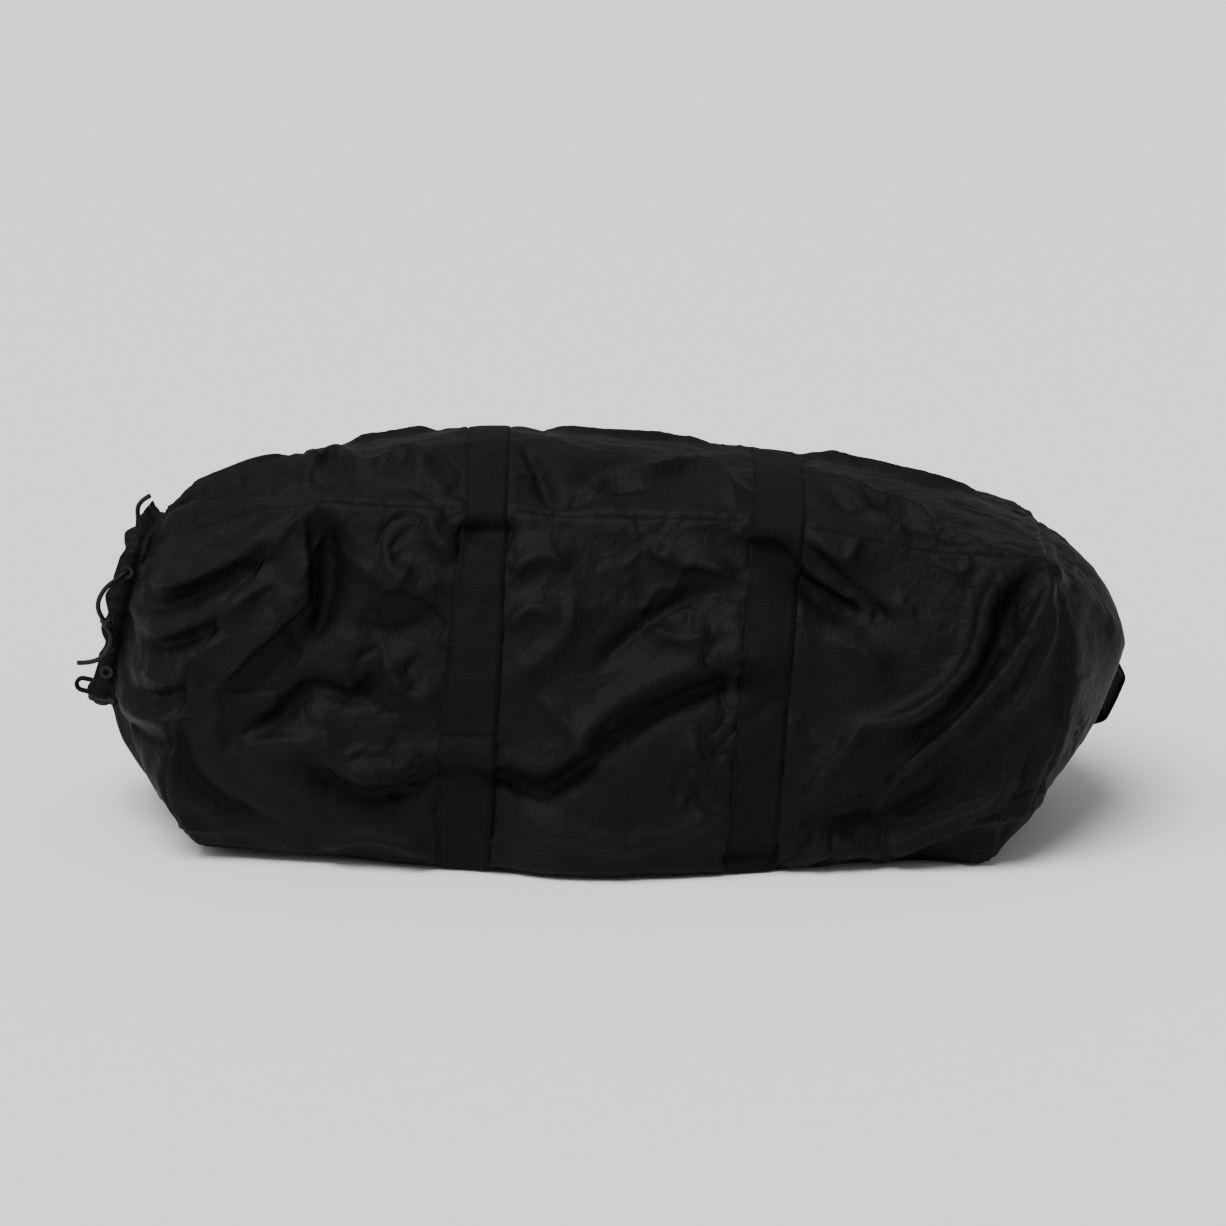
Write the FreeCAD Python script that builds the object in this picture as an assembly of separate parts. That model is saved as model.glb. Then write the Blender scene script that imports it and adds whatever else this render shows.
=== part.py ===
"""Soft duffel bag: a sewn nylon body with a drawcord mouth at its left end, two webbing bands round
it, a shoulder strap on rectangular rings behind it and a webbing grab handle on its closed right end.

Millimetres. +X runs along the bag from the mouth to the closed end, +Y points to its back and +Z up.
The origin is on the underside of the bottom panel, at the middle of the body.
"""

import FreeCAD
import Part
import math
import os

from FreeCAD import Placement, Rotation, Vector

OUT = "parts"

# ---- body ----
body_left = -335.0  # foot of the seam between the body and the collar
body_left_lean = 19.0  # degrees that this seam's top leans towards +X
body_right = 292.0  # foot of the seam between the body and the end panel
body_right_lean = 11.0
base_trim = 0.5  # cut off under the bottom panel, so that its underside is one true plane
foot_depth = 320.0  # front to back along the base, at both ends
band_swell = 10.0  # further forward that the base reaches at the bands
middle_swell = 36.0  # and midway between them
top_depth = 0.8625 * foot_depth  # front to back along the top seams
fabric = 3.0  # thickness given to every sewn panel

front_bulge = 16.0  # how far the front panel swells past a straight line
back_bulge = 6.0

# seam heights and rise of the top panel above them, from the mouth to the closed end
front_seam_at_collar, back_seam_at_collar, crown_at_collar = 292.0, 272.0, 18.0
front_seam_at_left_band, crown_at_left_band = 286.0, 38.0
front_seam_at_middle, crown_at_middle = 279.0, 33.0
front_seam_at_right_band, crown_at_right_band = 274.0, 30.0
front_seam_at_end, back_seam_at_end, crown_at_end = 246.0, 236.0, 10.0
seam_height_back = 264.0  # from band to band

# ---- webbing bands round the body ----
webbing_width = 38.0
webbing = 2.0  # thickness
band_left_x = -109.0
band_right_x = 113.0
sewn_gap = 0.1  # between two layers that are sewn flat together

# ---- mouth collar, hem and drawcord ----
mouth_x, mouth_z = body_left - 53.0, 169.0  # centre of the mouth at the collar's edge
mouth_lean = 13.0  # degrees that the mouth's top leans towards the body
mouth_width, mouth_height = 100.0, 140.0  # of the hem's middle line
mouth_radius = 22.0
hem_wall = 1.4
cord = 4.0  # diameter of the drawcord
cord_room = 0.5  # round the cord in its channel
hem_length = 18.0

grommet_hole = cord + 1.0
grommet_barrel = 0.6  # wall
grommet_flange = 11.0
grommet_flange_thickness = 1.0
grommet_heights = (-40.0, 44.0)  # along the mouth, from its centre

# ---- closed end and grab handle ----
facet_x, facet_z = body_right + 94.0, 108.0  # centre of the flat part of the end panel
facet_lean = 23.0  # degrees that its top leans away from the body
facet_width, facet_height = 150.0, 112.0
facet_bulge = 6.0
handle_length = 96.0
handle_foot = 14.0  # length of each sewn foot
handle_stand_off = 20.0
handle_middle = 34.0  # length of the part that lifts

# ---- shoulder strap ----
strap_x = 208.0  # each ring's distance from the middle
ring_wire = 4.5
ring_room = 0.05  # between a ring's bar and the webbing loop round it
ring_height = 20.5  # between the centres of its two bars
ring_clearance = 2.4  # each side, between a webbing loop and the ring's side bars
tab_out = ring_wire / 2 + webbing + 5.75  # from the back seam to the ring's bar
tab_seat = 1.0  # from the back seam to the tab's sewn end
tab_down = 19.0
back_slope = math.degrees(math.atan2((foot_depth - top_depth) / 2, seam_height_back))
strap_angle = back_slope + 1.25  # that ring and strap stand out from straight down, at rest
strap_drop = 150.0  # from the ring to the middle of the strap's lowest run
strap_corner = 62.0  # radius of the strap's middle line
slider_bar = 3.0
slider_side = 4.0
slider_room = 0.4

# ---- seam bindings ----
binding_width = 9.0
binding = 2.5
binding_gap = 0.4


# ---------------------------------------------------------------- sections of the bag

def body_section(x, lean, swell, seam, back_seam, crown):
    """The body on a plane that meets the base at x: its four corners and how far each side swells."""
    slope = math.cos(math.radians(lean))
    corners = [
        (-foot_depth / 2 - swell, 0.0),
        (-top_depth / 2, seam / slope),
        (top_depth / 2, back_seam / slope),
        (foot_depth / 2, 0.0),
    ]
    return {
        "place": Placement(Vector(x, 0, 0), Rotation(Vector(0, 1, 0), lean)),
        "corners": corners,
        "bulges": [front_bulge, crown, back_bulge, 0.0],
    }


def leaning_section(centre_x, centre_z, lean, width, height, bulge):
    """A four-sided section on a plane whose top leans towards +X by lean degrees."""
    w, h = width / 2, height / 2
    return {
        "place": Placement(Vector(centre_x, 0, centre_z), Rotation(Vector(0, 1, 0), lean)),
        "corners": [(-w, -h), (-w, h), (w, h), (w, -h)],
        "bulges": [bulge] * 4,
    }


def corner(section, k, inset):
    """Corner k of a section, moved in along both of its sides."""
    inward = [(1, 1), (1, -1), (-1, -1), (-1, 1)][k % 4]
    y, z = section["corners"][k % 4]
    return y + inward[0] * inset, z + inward[1] * inset


def in_space(section, y, z, out=0.0):
    return section["place"].multVec(Vector(out, y, z))


def side_edge(section, k, inset):
    """The edge of side k, which runs from corner k to corner k + 1, set in by inset."""
    (y0, z0), (y1, z1) = corner(section, k, inset), corner(section, k + 1, inset)
    a, b = in_space(section, y0, z0), in_space(section, y1, z1)
    swell = section["bulges"][k % 4]
    if swell == 0:
        return Part.LineSegment(a, b).toShape()
    run_y, run_z = y1 - y0, z1 - z0
    run = math.hypot(run_y, run_z)
    out_y, out_z = -run_z / run, run_y / run
    middle = in_space(section, (y0 + y1) / 2 + out_y * swell, (z0 + z1) / 2 + out_z * swell)
    return Part.Arc(a, middle, b).toShape()


def ring_wire_of(section, inset):
    return Part.Wire([side_edge(section, k, inset) for k in range(4)])


def strip_wire(section, k, outer, inner):
    """The closed outline of side k's thickness, between two insets."""
    top, low = side_edge(section, k, outer), side_edge(section, k, inner)
    ends = [
        Part.LineSegment(in_space(section, *corner(section, j, outer)),
                         in_space(section, *corner(section, j, inner))).toShape()
        for j in (k, k + 1)
    ]
    return Part.Wire(Part.__sortEdges__([top, ends[1], low, ends[0]]))


def panel(k, sections, outer=0.0, inner=fabric):
    return Part.makeLoft([strip_wire(s, k, outer, inner) for s in sections], True, True)


def tube(sections, inset):
    return Part.makeLoft([ring_wire_of(s, inset) for s in sections], True, True)


def blend(a, b, share):
    """The value share of the way from a to b."""
    return a + (b - a) * share


left_edges = (band_left_x - webbing_width / 2, band_left_x + webbing_width / 2)
right_edges = (band_right_x - webbing_width / 2, band_right_x + webbing_width / 2)

left_band_shape = (0.0, band_swell, front_seam_at_left_band, seam_height_back, crown_at_left_band)
right_band_shape = (0.0, band_swell, front_seam_at_right_band, seam_height_back, crown_at_right_band)
body_sections = [
    body_section(body_left, body_left_lean, 0.0,
                 front_seam_at_collar, back_seam_at_collar, crown_at_collar),
    body_section(left_edges[0], *left_band_shape),
    body_section(left_edges[1], *left_band_shape),
    body_section((band_left_x + band_right_x) / 2, 0.0, middle_swell,
                 front_seam_at_middle, seam_height_back, crown_at_middle),
    body_section(right_edges[0], *right_band_shape),
    body_section(right_edges[1], *right_band_shape),
    body_section(body_right, body_right_lean, 0.0,
                 front_seam_at_end, back_seam_at_end, crown_at_end),
]

# The collar's edge meets the hem's middle line, with its corners on the hem's rounded corners.
corner_cut = mouth_radius * (1 - math.sqrt(0.5))
mouth_section = leaning_section(
    mouth_x, mouth_z, mouth_lean,
    mouth_width - 2 * corner_cut + fabric, mouth_height - 2 * corner_cut + fabric, corner_cut)
facet_section = leaning_section(
    facet_x, facet_z, facet_lean, facet_width, facet_height, facet_bulge)


# ---------------------------------------------------------------- sewn panels

def band_channel(edges):
    """The room that a band takes out of the base, so that band and bottom panel lie level."""
    deep = foot_depth + 2 * (band_swell + webbing + fabric)
    return Part.makeBox(
        edges[1] - edges[0] + 2 * sewn_gap, deep, 2 * webbing + sewn_gap,
        Vector(edges[0] - sewn_gap, -deep / 2, -webbing))


def below_floor():
    long = body_right - body_left
    wide = 2 * foot_depth
    return Part.makeBox(2 * long, 2 * wide, fabric, Vector(-long, -wide, -fabric))


def body_panels():
    names = ["front_panel", "top_panel", "back_panel", "bottom_panel"]
    made = {name: panel(k, body_sections) for k, name in enumerate(names)}
    deep = panel(3, body_sections, outer=-base_trim)
    made["bottom_panel"] = deep.cut(below_floor()).removeSplitter()
    channels = Part.makeCompound([band_channel(left_edges), band_channel(right_edges)])
    for name in ("front_panel", "back_panel", "bottom_panel"):
        made[name] = made[name].cut(channels)
    return made


def collar_gores():
    names = ["collar_front", "collar_top", "collar_back", "collar_bottom"]
    return {name: panel(k, [mouth_section, body_sections[0]]) for k, name in enumerate(names)}


def end_panel():
    """A closed cup: four sloping sides and the flat facet that carries the grab handle."""
    inner_facet = dict(facet_section)
    inner_facet["place"] = facet_section["place"].multiply(Placement(Vector(-fabric, 0, 0), Rotation()))
    outer = tube([body_sections[-1], facet_section], 0.0)
    inner = tube([body_sections[-1], inner_facet], fabric)
    return outer.cut(inner)


def body_band(first, second):
    """A webbing loop round the body between two sections, passing level under the base."""
    pair = [body_sections[first], body_sections[second]]
    x0, x1 = pair[0]["place"].Base.x, pair[1]["place"].Base.x
    around = tube(pair, -webbing - sewn_gap).cut(tube(pair, -sewn_gap))
    above_floor = Part.makeBox(x1 - x0, 4 * foot_depth, 4 * foot_depth, Vector(x0, -2 * foot_depth, 0))
    overhang = sewn_gap + webbing / 2
    under = Part.makeBox(x1 - x0, foot_depth + band_swell + 2 * overhang, webbing,
                         Vector(x0, -foot_depth / 2 - band_swell - overhang, 0))
    return around.common(above_floor).fuse(under).removeSplitter()


def lengthwise_binding(k):
    """Tape folded over the seam allowance of corner k, inside the bag."""
    inward_y = 1 if k in (0, 1) else -1
    inward_z = 1 if k in (0, 3) else -1
    stand_off = fabric + (2 * binding_gap if k in (1, 2) else binding_gap)
    line = [in_space(section, *corner(section, k, stand_off)) for section in body_sections]
    end_room = binding + binding_width
    for end, neighbour in ((0, 1), (-1, -2)):
        inwards = line[neighbour] - line[end]
        line[end] = line[end] + inwards * (end_room / inwards.Length)
    ring = [(0, 0), (binding, 0), (binding, binding_width), (0, binding_width)]
    wires = []
    for point in line:
        points = [point + Vector(0, inward_y * a, inward_z * b) for a, b in ring]
        wires.append(Part.makePolygon(points + points[:1]))
    return Part.makeLoft(wires, True, True)


def ring_binding(section, direction):
    """Tape round the seam between the body and its end, just inside the bag."""
    inset = fabric + 2 * binding_gap
    depth = Vector(direction * binding, 0, 0)
    offset = Vector(direction * binding_gap, 0, 0)
    outer = Part.Face(ring_wire_of(section, inset)).extrude(depth)
    inner = Part.Face(ring_wire_of(section, inset + binding_width)).extrude(depth)
    made = outer.cut(inner)
    made.translate(offset)
    return made


# ---------------------------------------------------------------- mouth hem and its hardware

def rounded_rectangle(width, height, radius):
    """A closed wire in the YZ plane about the origin."""
    w, h, r = width / 2, height / 2, radius
    edges = []
    for sy, sz in ((-1, -1), (-1, 1), (1, 1), (1, -1)):
        cy, cz = sy * (w - r), sz * (h - r)
        vertical = sy == sz
        first = (sy * w, cz) if not vertical else (cy, sz * h)
        last = (cy, sz * h) if not vertical else (sy * w, cz)
        middle = (cy + sy * r * math.sqrt(0.5), cz + sz * r * math.sqrt(0.5))
        edges.append(Part.Arc(*[Vector(0, y, z) for y, z in (first, middle, last)]).toShape())
    wire = []
    for i, arc in enumerate(edges):
        following = edges[(i + 1) % 4]
        wire += [arc, Part.LineSegment(arc.Vertexes[-1].Point, following.Vertexes[0].Point).toShape()]
    return Part.Wire(wire)


channel_half = cord / 2 + cord_room
hem_half = channel_half + hem_wall
mouth_place = mouth_section["place"]


def hem_ring(half, length, start):
    """A band of that half thickness about the hem's middle line, running out of the mouth."""
    outer = rounded_rectangle(mouth_width + 2 * half, mouth_height + 2 * half, mouth_radius + half)
    inner = rounded_rectangle(mouth_width - 2 * half, mouth_height - 2 * half, mouth_radius - half)
    face = Part.Face(outer).cut(Part.Face(inner))
    made = face.extrude(Vector(-length, 0, 0))
    made.translate(Vector(-start, 0, 0))
    return made


def grommet_spots():
    """(side, height, distance out of the collar's edge) of each cord exit, in the mouth's frame."""
    return [(side, z, hem_length / 2) for side in (-1, 1) for z in grommet_heights]


def across_hem(radius, near, far, side, z, out):
    """A cylinder along Y between two distances from the mouth's middle plane."""
    y0 = side * (mouth_width / 2 + near)
    return Part.makeCylinder(radius, far - near, Vector(-out, y0, z), Vector(0, side, 0))


def mouth_hem():
    made = hem_ring(hem_half, hem_length, 0.0)
    made = made.cut(hem_ring(channel_half, 2 * channel_half, hem_length / 2 - channel_half))
    bore = grommet_hole / 2 + grommet_barrel + sewn_gap
    for spot in grommet_spots():
        made = made.cut(across_hem(bore, 0, hem_half + 1, *spot))
    made.Placement = mouth_place
    return made


def grommets():
    """Flanged barrels that line each cord exit in the hem's outer wall."""
    made = []
    for spot in grommet_spots():
        flange = across_hem(grommet_flange / 2, hem_half + sewn_gap,
                            hem_half + sewn_gap + grommet_flange_thickness, *spot)
        barrel = across_hem(grommet_hole / 2 + grommet_barrel, channel_half,
                            hem_half + sewn_gap + grommet_flange_thickness, *spot)
        hole = across_hem(grommet_hole / 2, 0, hem_half + 5, *spot)
        made.append(flange.fuse(barrel).cut(hole).removeSplitter())
    group = Part.makeCompound(made)
    group.Placement = mouth_place
    return group


cord_gap = 3.5  # between a cord exit's centre and the end of the cord inside the hem


def drawcord_in_hem():
    """The cord's hidden run: nearly once round the channel, ending at the two front exits."""
    w, h, r = mouth_width / 2, mouth_height / 2, mouth_radius
    low, high = sorted(grommet_heights)
    low, high = low - cord_gap, high + cord_gap
    x = -hem_length / 2

    def at(y, z):
        return Vector(x, y, z)

    def bend(cy, cz, sy, sz, first, last):
        middle = at(cy + sy * r * math.sqrt(0.5), cz + sz * r * math.sqrt(0.5))
        return Part.Arc(first, middle, last).toShape()

    corners = []
    for sy, sz in ((-1, 1), (1, 1), (1, -1), (-1, -1)):
        cy, cz = sy * (w - r), sz * (h - r)
        upright, level = at(sy * w, cz), at(cy, sz * h)
        rising = (sy, sz) in ((-1, 1), (1, -1))
        first, last = (upright, level) if rising else (level, upright)
        corners.append((first, bend(cy, cz, sy, sz, first, last), last))
    edges = [Part.LineSegment(at(-w, high), corners[0][0]).toShape()]
    for i, (first, arc, last) in enumerate(corners):
        edges.append(arc)
        following = corners[i + 1][0] if i < 3 else at(-w, low)
        edges.append(Part.LineSegment(last, following).toShape())
    path = Part.Wire(edges)
    profile = Part.Wire(Part.makeCircle(cord / 2, at(-w, high), Vector(0, 0, 1)))
    made = path.makePipeShell([profile], True, False)
    made.Placement = mouth_place
    return made


# Routes of the cord's free ends, in the bag's frame. The first two points leave their grommet.
def exit_point(side, height, out):
    """A point on a cord exit's axis, out millimetres past the flange."""
    y = side * (mouth_width / 2 + hem_half + sewn_gap + grommet_flange_thickness + out)
    return mouth_place.multVec(Vector(-hem_length / 2, y, height))


def from_exit(start, steps):
    """Points at chosen steps (x, y, z) from a cord exit."""
    return [start] + [start + Vector(*step) for step in steps]


tail_start = -grommet_flange_thickness  # the free cord starts inside its grommet
lower_tail_route = from_exit(exit_point(-1, grommet_heights[1], tail_start), [
    (-3, -12, -1), (-16, -17, -9), (-23, -16, -24), (-17, -13, -38),
    (-11, -10, -50), (-16, -8, -64), (-28, -6, -73), (-41, -5, -73)])
upper_tail_route = from_exit(exit_point(1, grommet_heights[1], tail_start), [
    (0, 9, 1), (-3, 16, 9), (-7, 17, 20), (-4, 14, 31), (5, 12, 36)])
knot_centre = lower_tail_route[4] + Vector(2, 0, 0)
knot_radius = 6.0


def cord_tube(route):
    """Straight runs joined by tangent arcs, each as large as its two runs allow."""
    reach = 0.45
    edges, here = [], route[0]
    for before, point, after in zip(route, route[1:], route[2:]):
        back, ahead = before - point, after - point
        cut = reach * min(back.Length, ahead.Length)
        turn = math.pi - back.getAngle(ahead)
        radius = cut / math.tan(turn / 2)
        print(f"cord bend radius {radius:.1f} mm")
        back.normalize()
        ahead.normalize()
        first, last = point + back * cut, point + ahead * cut
        centre_way = back + ahead
        centre_way.normalize()
        centre = point + centre_way * math.hypot(radius, cut)
        to_point = point - centre
        to_point.normalize()
        edges.append(Part.LineSegment(here, first).toShape())
        edges.append(Part.Arc(first, centre + to_point * radius, last).toShape())
        here = last
    edges.append(Part.LineSegment(here, route[-1]).toShape())
    path = Part.Wire(edges)
    profile = Part.Wire(Part.makeCircle(cord / 2, route[0], route[1] - route[0]))
    made = path.makePipeShell([profile], True, False)
    ideal = math.pi * cord ** 2 / 4 * path.Length
    print(f"cord tube {path.Length:.1f} mm long, volume {made.Volume / ideal:.3f} of its section times length")
    return made


def drawcord_knot(tail):
    """The overhand knot's outer shape, round the cord that passes through it."""
    ball = Part.makeSphere(knot_radius, knot_centre)
    return ball.cut(tail)


def rim_pull_loop():
    """A small tape loop sewn to the hem's lowest point, for pulling the mouth down."""
    outer_length, outer_width, tape, thick = 17.0, 13.0, 5.0, 2.4
    r = outer_width / 2
    body = Part.makeCylinder(r, tape, Vector(-outer_length + r, -tape / 2, 0), Vector(0, 1, 0))
    body = body.fuse(Part.makeBox(outer_length - r, tape, outer_width, Vector(-outer_length + r, -tape / 2, -r)))
    hole = Part.makeCylinder(r - thick, tape, Vector(-outer_length + r, -tape / 2, 0), Vector(0, 1, 0))
    hole = hole.fuse(Part.makeBox(outer_length - r - thick, tape, outer_width - 2 * thick,
                                  Vector(-outer_length + r, -tape / 2, -r + thick)))
    made = body.cut(hole).removeSplitter()
    seat = Vector(-hem_length - sewn_gap, 0, -mouth_height / 2)
    made.Placement = mouth_place.multiply(Placement(seat, Rotation()))
    return made


# ---------------------------------------------------------------- grab handle on the closed end

facet_place = facet_section["place"]


def local_strip(points, thickness, width):
    """Webbing whose middle line is points (out, up) in the facet's frame, extruded along Y."""
    upper, lower = [], []
    for i, (a, b) in enumerate(points):
        before = points[max(i - 1, 0)]
        after = points[min(i + 1, len(points) - 1)]
        run = math.hypot(after[0] - before[0], after[1] - before[1])
        na, nb = (after[1] - before[1]) / run, -(after[0] - before[0]) / run
        upper.append(Vector(a + na * thickness / 2, -width / 2, b + nb * thickness / 2))
        lower.append(Vector(a - na * thickness / 2, -width / 2, b - nb * thickness / 2))
    ring = upper + lower[::-1]
    face = Part.Face(Part.makePolygon(ring + ring[:1]))
    made = face.extrude(Vector(0, width, 0))
    made.Placement = facet_place
    return made


def handle_end(sign):
    """The sewn foot of the handle and the slope up to the part that lifts."""
    low = webbing / 2 + sewn_gap
    high = handle_stand_off + webbing / 2
    foot_start, foot_stop = handle_length / 2, handle_length / 2 - handle_foot
    points = [(low, sign * foot_start), (low, sign * foot_stop),
              (high, sign * (handle_middle / 2 + webbing))]
    return local_strip(points if sign < 0 else points[::-1], webbing, webbing_width)


def grab_handle():
    """The part of the handle that lifts away from the end panel."""
    level = handle_stand_off + webbing / 2
    half = handle_middle / 2
    return local_strip([(level, -half), (level, half)], webbing, webbing_width)


# ---------------------------------------------------------------- shoulder strap, rings and tabs

ring_axis_y = top_depth / 2 + tab_out
ring_axis_z = seam_height_back - tab_down
bar_hole = ring_wire / 2 + ring_room
loop_outer = bar_hole + webbing
tab_width = webbing_width
ring_inside = webbing_width + 2 * ring_clearance


def strap_tab(x):
    """Doubled webbing sewn into the back seam, with its fold round the ring's upper bar."""
    seat_y, seat_z = top_depth / 2 + tab_seat, seam_height_back
    run = Vector(0, ring_axis_y - seat_y, ring_axis_z - seat_z)
    along = Vector(run)
    along.normalize()
    across = Vector(0, -along.z, along.y)
    side = across * webbing
    start = Vector(x - tab_width / 2, seat_y, seat_z) + across * webbing
    stop = Vector(x - tab_width / 2, ring_axis_y, ring_axis_z)
    ring = [start + side, stop + side, stop - side, start - side]
    leg = Part.Face(Part.makePolygon(ring + ring[:1])).extrude(Vector(tab_width, 0, 0))
    eye = Part.makeCylinder(loop_outer, tab_width, stop, Vector(1, 0, 0))
    hole = Part.makeCylinder(bar_hole, tab_width, stop, Vector(1, 0, 0))
    return leg.fuse(eye).cut(hole).removeSplitter()


def hanging(shape):
    """Turns a shape drawn below the ring's upper bar to the angle at which strap and rings rest."""
    made = shape.copy()
    made.rotate(Vector(0, ring_axis_y, ring_axis_z), Vector(1, 0, 0), strap_angle)
    return made


def strap_ring(x):
    """A rectangular wire ring, hanging from its upper bar."""
    w, h, r = (ring_inside + ring_wire) / 2, ring_height / 2, ring_wire
    centre = Vector(x, ring_axis_y, ring_axis_z - h)
    points = [(-w, -h), (-w, h), (w, h), (w, -h)]
    edges, arcs = [], []
    for a, b in points:
        sa, sb = (1 if a > 0 else -1), (1 if b > 0 else -1)
        upright = centre + Vector(a, 0, b - sb * r)
        level = centre + Vector(a - sa * r, 0, b)
        middle = centre + Vector(a - sa * r * (1 - math.sqrt(0.5)), 0, b - sb * r * (1 - math.sqrt(0.5)))
        first, last = (upright, level) if sa != sb else (level, upright)
        arcs.append((first, middle, last))
    for i, (first, middle, last) in enumerate(arcs):
        edges.append(Part.Arc(first, middle, last).toShape())
        edges.append(Part.LineSegment(last, arcs[(i + 1) % 4][0]).toShape())
    path = Part.Wire(edges)
    profile = Part.Wire(Part.makeCircle(ring_wire / 2, arcs[0][0], Vector(1, 0, 0)))
    return hanging(path.makePipeShell([profile], True, False))


def strap_outline(offset, drop):
    """A U in the XZ plane below the rings: down, across and up, at that offset from its middle line."""
    x = strap_x - offset
    r = strap_corner - offset
    low = drop - offset
    s = math.sqrt(0.5)
    edge = [
        (-x, 0), (-x, -low + r), (-x + r - r * s, -low + r - r * s), (-x + r, -low),
        (x - r, -low), (x - r + r * s, -low + r - r * s), (x, -low + r), (x, 0)]
    top = ring_axis_z - ring_height
    return [Vector(a, ring_axis_y, top + b) for a, b in edge]


def shoulder_strap():
    """Webbing that hangs behind the bag between the two rings, its ends folded round their bars."""
    half = webbing_width / 2
    outer, inner = strap_outline(-half, strap_drop), strap_outline(half, strap_drop)
    edges = []
    for p in (outer, inner):
        edges += [Part.LineSegment(p[0], p[1]).toShape(), Part.Arc(p[1], p[2], p[3]).toShape(),
                  Part.LineSegment(p[3], p[4]).toShape(), Part.Arc(p[4], p[5], p[6]).toShape(),
                  Part.LineSegment(p[6], p[7]).toShape()]
    edges += [Part.LineSegment(outer[i], inner[i]).toShape() for i in (0, -1)]
    face = Part.Face(Part.Wire(Part.__sortEdges__(edges)))
    made = face.extrude(Vector(0, webbing, 0))
    made.translate(Vector(0, -webbing / 2, 0))
    for x in (-strap_x, strap_x):
        start = Vector(x - half, ring_axis_y, ring_axis_z - ring_height)
        made = made.fuse(Part.makeCylinder(loop_outer, webbing_width, start, Vector(1, 0, 0)))
        made = made.cut(Part.makeCylinder(bar_hole, webbing_width, start, Vector(1, 0, 0)))
    return hanging(made.removeSplitter())


def strap_slider():
    """A three-bar slider on the strap's lowest run: side bars on one face, middle bar on the other."""
    half = webbing_width / 2 + slider_room
    gap = webbing / 2 + slider_room
    height = 2 * (half + slider_side)
    z0 = ring_axis_z - ring_height - strap_drop - height / 2
    reach = slider_bar * 3.4
    bars = []
    for x, y in ((-reach, gap), (reach - slider_bar, gap), (-slider_bar / 2, -gap - slider_bar)):
        bars.append(Part.makeBox(slider_bar, slider_bar, height, Vector(x, ring_axis_y + y, z0)))
    for z in (z0, z0 + height - slider_side):
        bars.append(Part.makeBox(2 * reach, 2 * (gap + slider_bar), slider_side,
                                 Vector(-reach, ring_axis_y - gap - slider_bar, z)))
    made = bars[0]
    for bar in bars[1:]:
        made = made.fuse(bar)
    return hanging(made.removeSplitter())


# ---------------------------------------------------------------- the whole bag

def build():
    nodes = {}
    nodes.update(body_panels())
    nodes.update(collar_gores())
    nodes["end_panel"] = end_panel()
    nodes["body_band_left"] = body_band(1, 2)
    nodes["body_band_right"] = body_band(4, 5)
    for k, name in enumerate(("front_bottom", "front_top", "back_top", "back_bottom")):
        nodes["seam_binding_" + name] = lengthwise_binding(k)
    nodes["collar_seam_binding"] = ring_binding(body_sections[0], 1)
    nodes["end_seam_binding"] = ring_binding(body_sections[-1], -1)
    nodes["mouth_hem"] = mouth_hem()
    nodes["grommets"] = grommets()
    nodes["drawcord_in_hem"] = drawcord_in_hem()
    nodes["drawcord_tail_lower"] = cord_tube(lower_tail_route)
    nodes["drawcord_tail_upper"] = cord_tube(upper_tail_route)
    nodes["drawcord_knot"] = drawcord_knot(nodes["drawcord_tail_lower"])
    nodes["rim_pull_loop"] = rim_pull_loop()
    nodes["grab_handle_end_lower"] = handle_end(-1)
    nodes["grab_handle_end_upper"] = handle_end(1)
    nodes["grab_handle"] = grab_handle()
    nodes["strap_tab_left"] = strap_tab(-strap_x)
    nodes["strap_tab_right"] = strap_tab(strap_x)
    nodes["strap_ring_left"] = strap_ring(-strap_x)
    nodes["strap_ring_right"] = strap_ring(strap_x)
    nodes["shoulder_strap"] = shoulder_strap()
    nodes["strap_slider"] = strap_slider()
    return nodes


def main():
    os.makedirs(OUT, exist_ok=True)
    for name, shape in build().items():
        if not shape.Solids or not shape.isValid():
            print("CHECK", name, "solids", len(shape.Solids), "valid", shape.isValid())
        shape.exportStep(os.path.join(OUT, name + ".step"))
        print(f"{name}: {len(shape.Solids)} solid(s), {shape.Volume / 1000:.1f} cm3")


main()
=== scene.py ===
import math
import bpy
import numpy as np
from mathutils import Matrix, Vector


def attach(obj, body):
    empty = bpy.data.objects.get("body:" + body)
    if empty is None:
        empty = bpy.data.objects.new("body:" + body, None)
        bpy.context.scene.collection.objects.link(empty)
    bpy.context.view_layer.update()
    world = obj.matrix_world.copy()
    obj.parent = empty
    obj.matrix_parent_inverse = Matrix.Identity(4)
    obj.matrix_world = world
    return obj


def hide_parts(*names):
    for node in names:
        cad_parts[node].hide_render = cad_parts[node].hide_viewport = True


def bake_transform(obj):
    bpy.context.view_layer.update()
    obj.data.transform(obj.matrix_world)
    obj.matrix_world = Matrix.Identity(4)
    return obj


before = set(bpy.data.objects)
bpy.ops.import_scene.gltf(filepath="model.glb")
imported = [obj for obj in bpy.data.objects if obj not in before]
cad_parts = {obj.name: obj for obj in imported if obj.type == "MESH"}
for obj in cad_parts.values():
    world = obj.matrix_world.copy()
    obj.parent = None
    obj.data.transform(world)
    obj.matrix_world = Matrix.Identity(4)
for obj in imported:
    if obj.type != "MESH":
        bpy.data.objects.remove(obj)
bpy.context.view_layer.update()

print("frame loaded")


viewSettings = {"elevation": 14.0, "distance": 3.0, "aim": (-0.0015, 0.0, 0.167), "lens": 108.8,
                "sensor": 36}


def makeCamera(view):
    camera = bpy.data.objects.new("viewCamera", bpy.data.cameras.new("viewCamera"))
    bpy.context.scene.collection.objects.link(camera)
    tilt = math.radians(view["elevation"])
    back = Vector((0, -math.cos(tilt), math.sin(tilt)))
    camera.location = Vector(view["aim"]) + back * view["distance"]
    camera.rotation_euler = (math.radians(90) - tilt, 0, 0)
    camera.data.sensor_width = view["sensor"]
    camera.data.lens = view["lens"]
    bpy.context.scene.camera = camera


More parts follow.
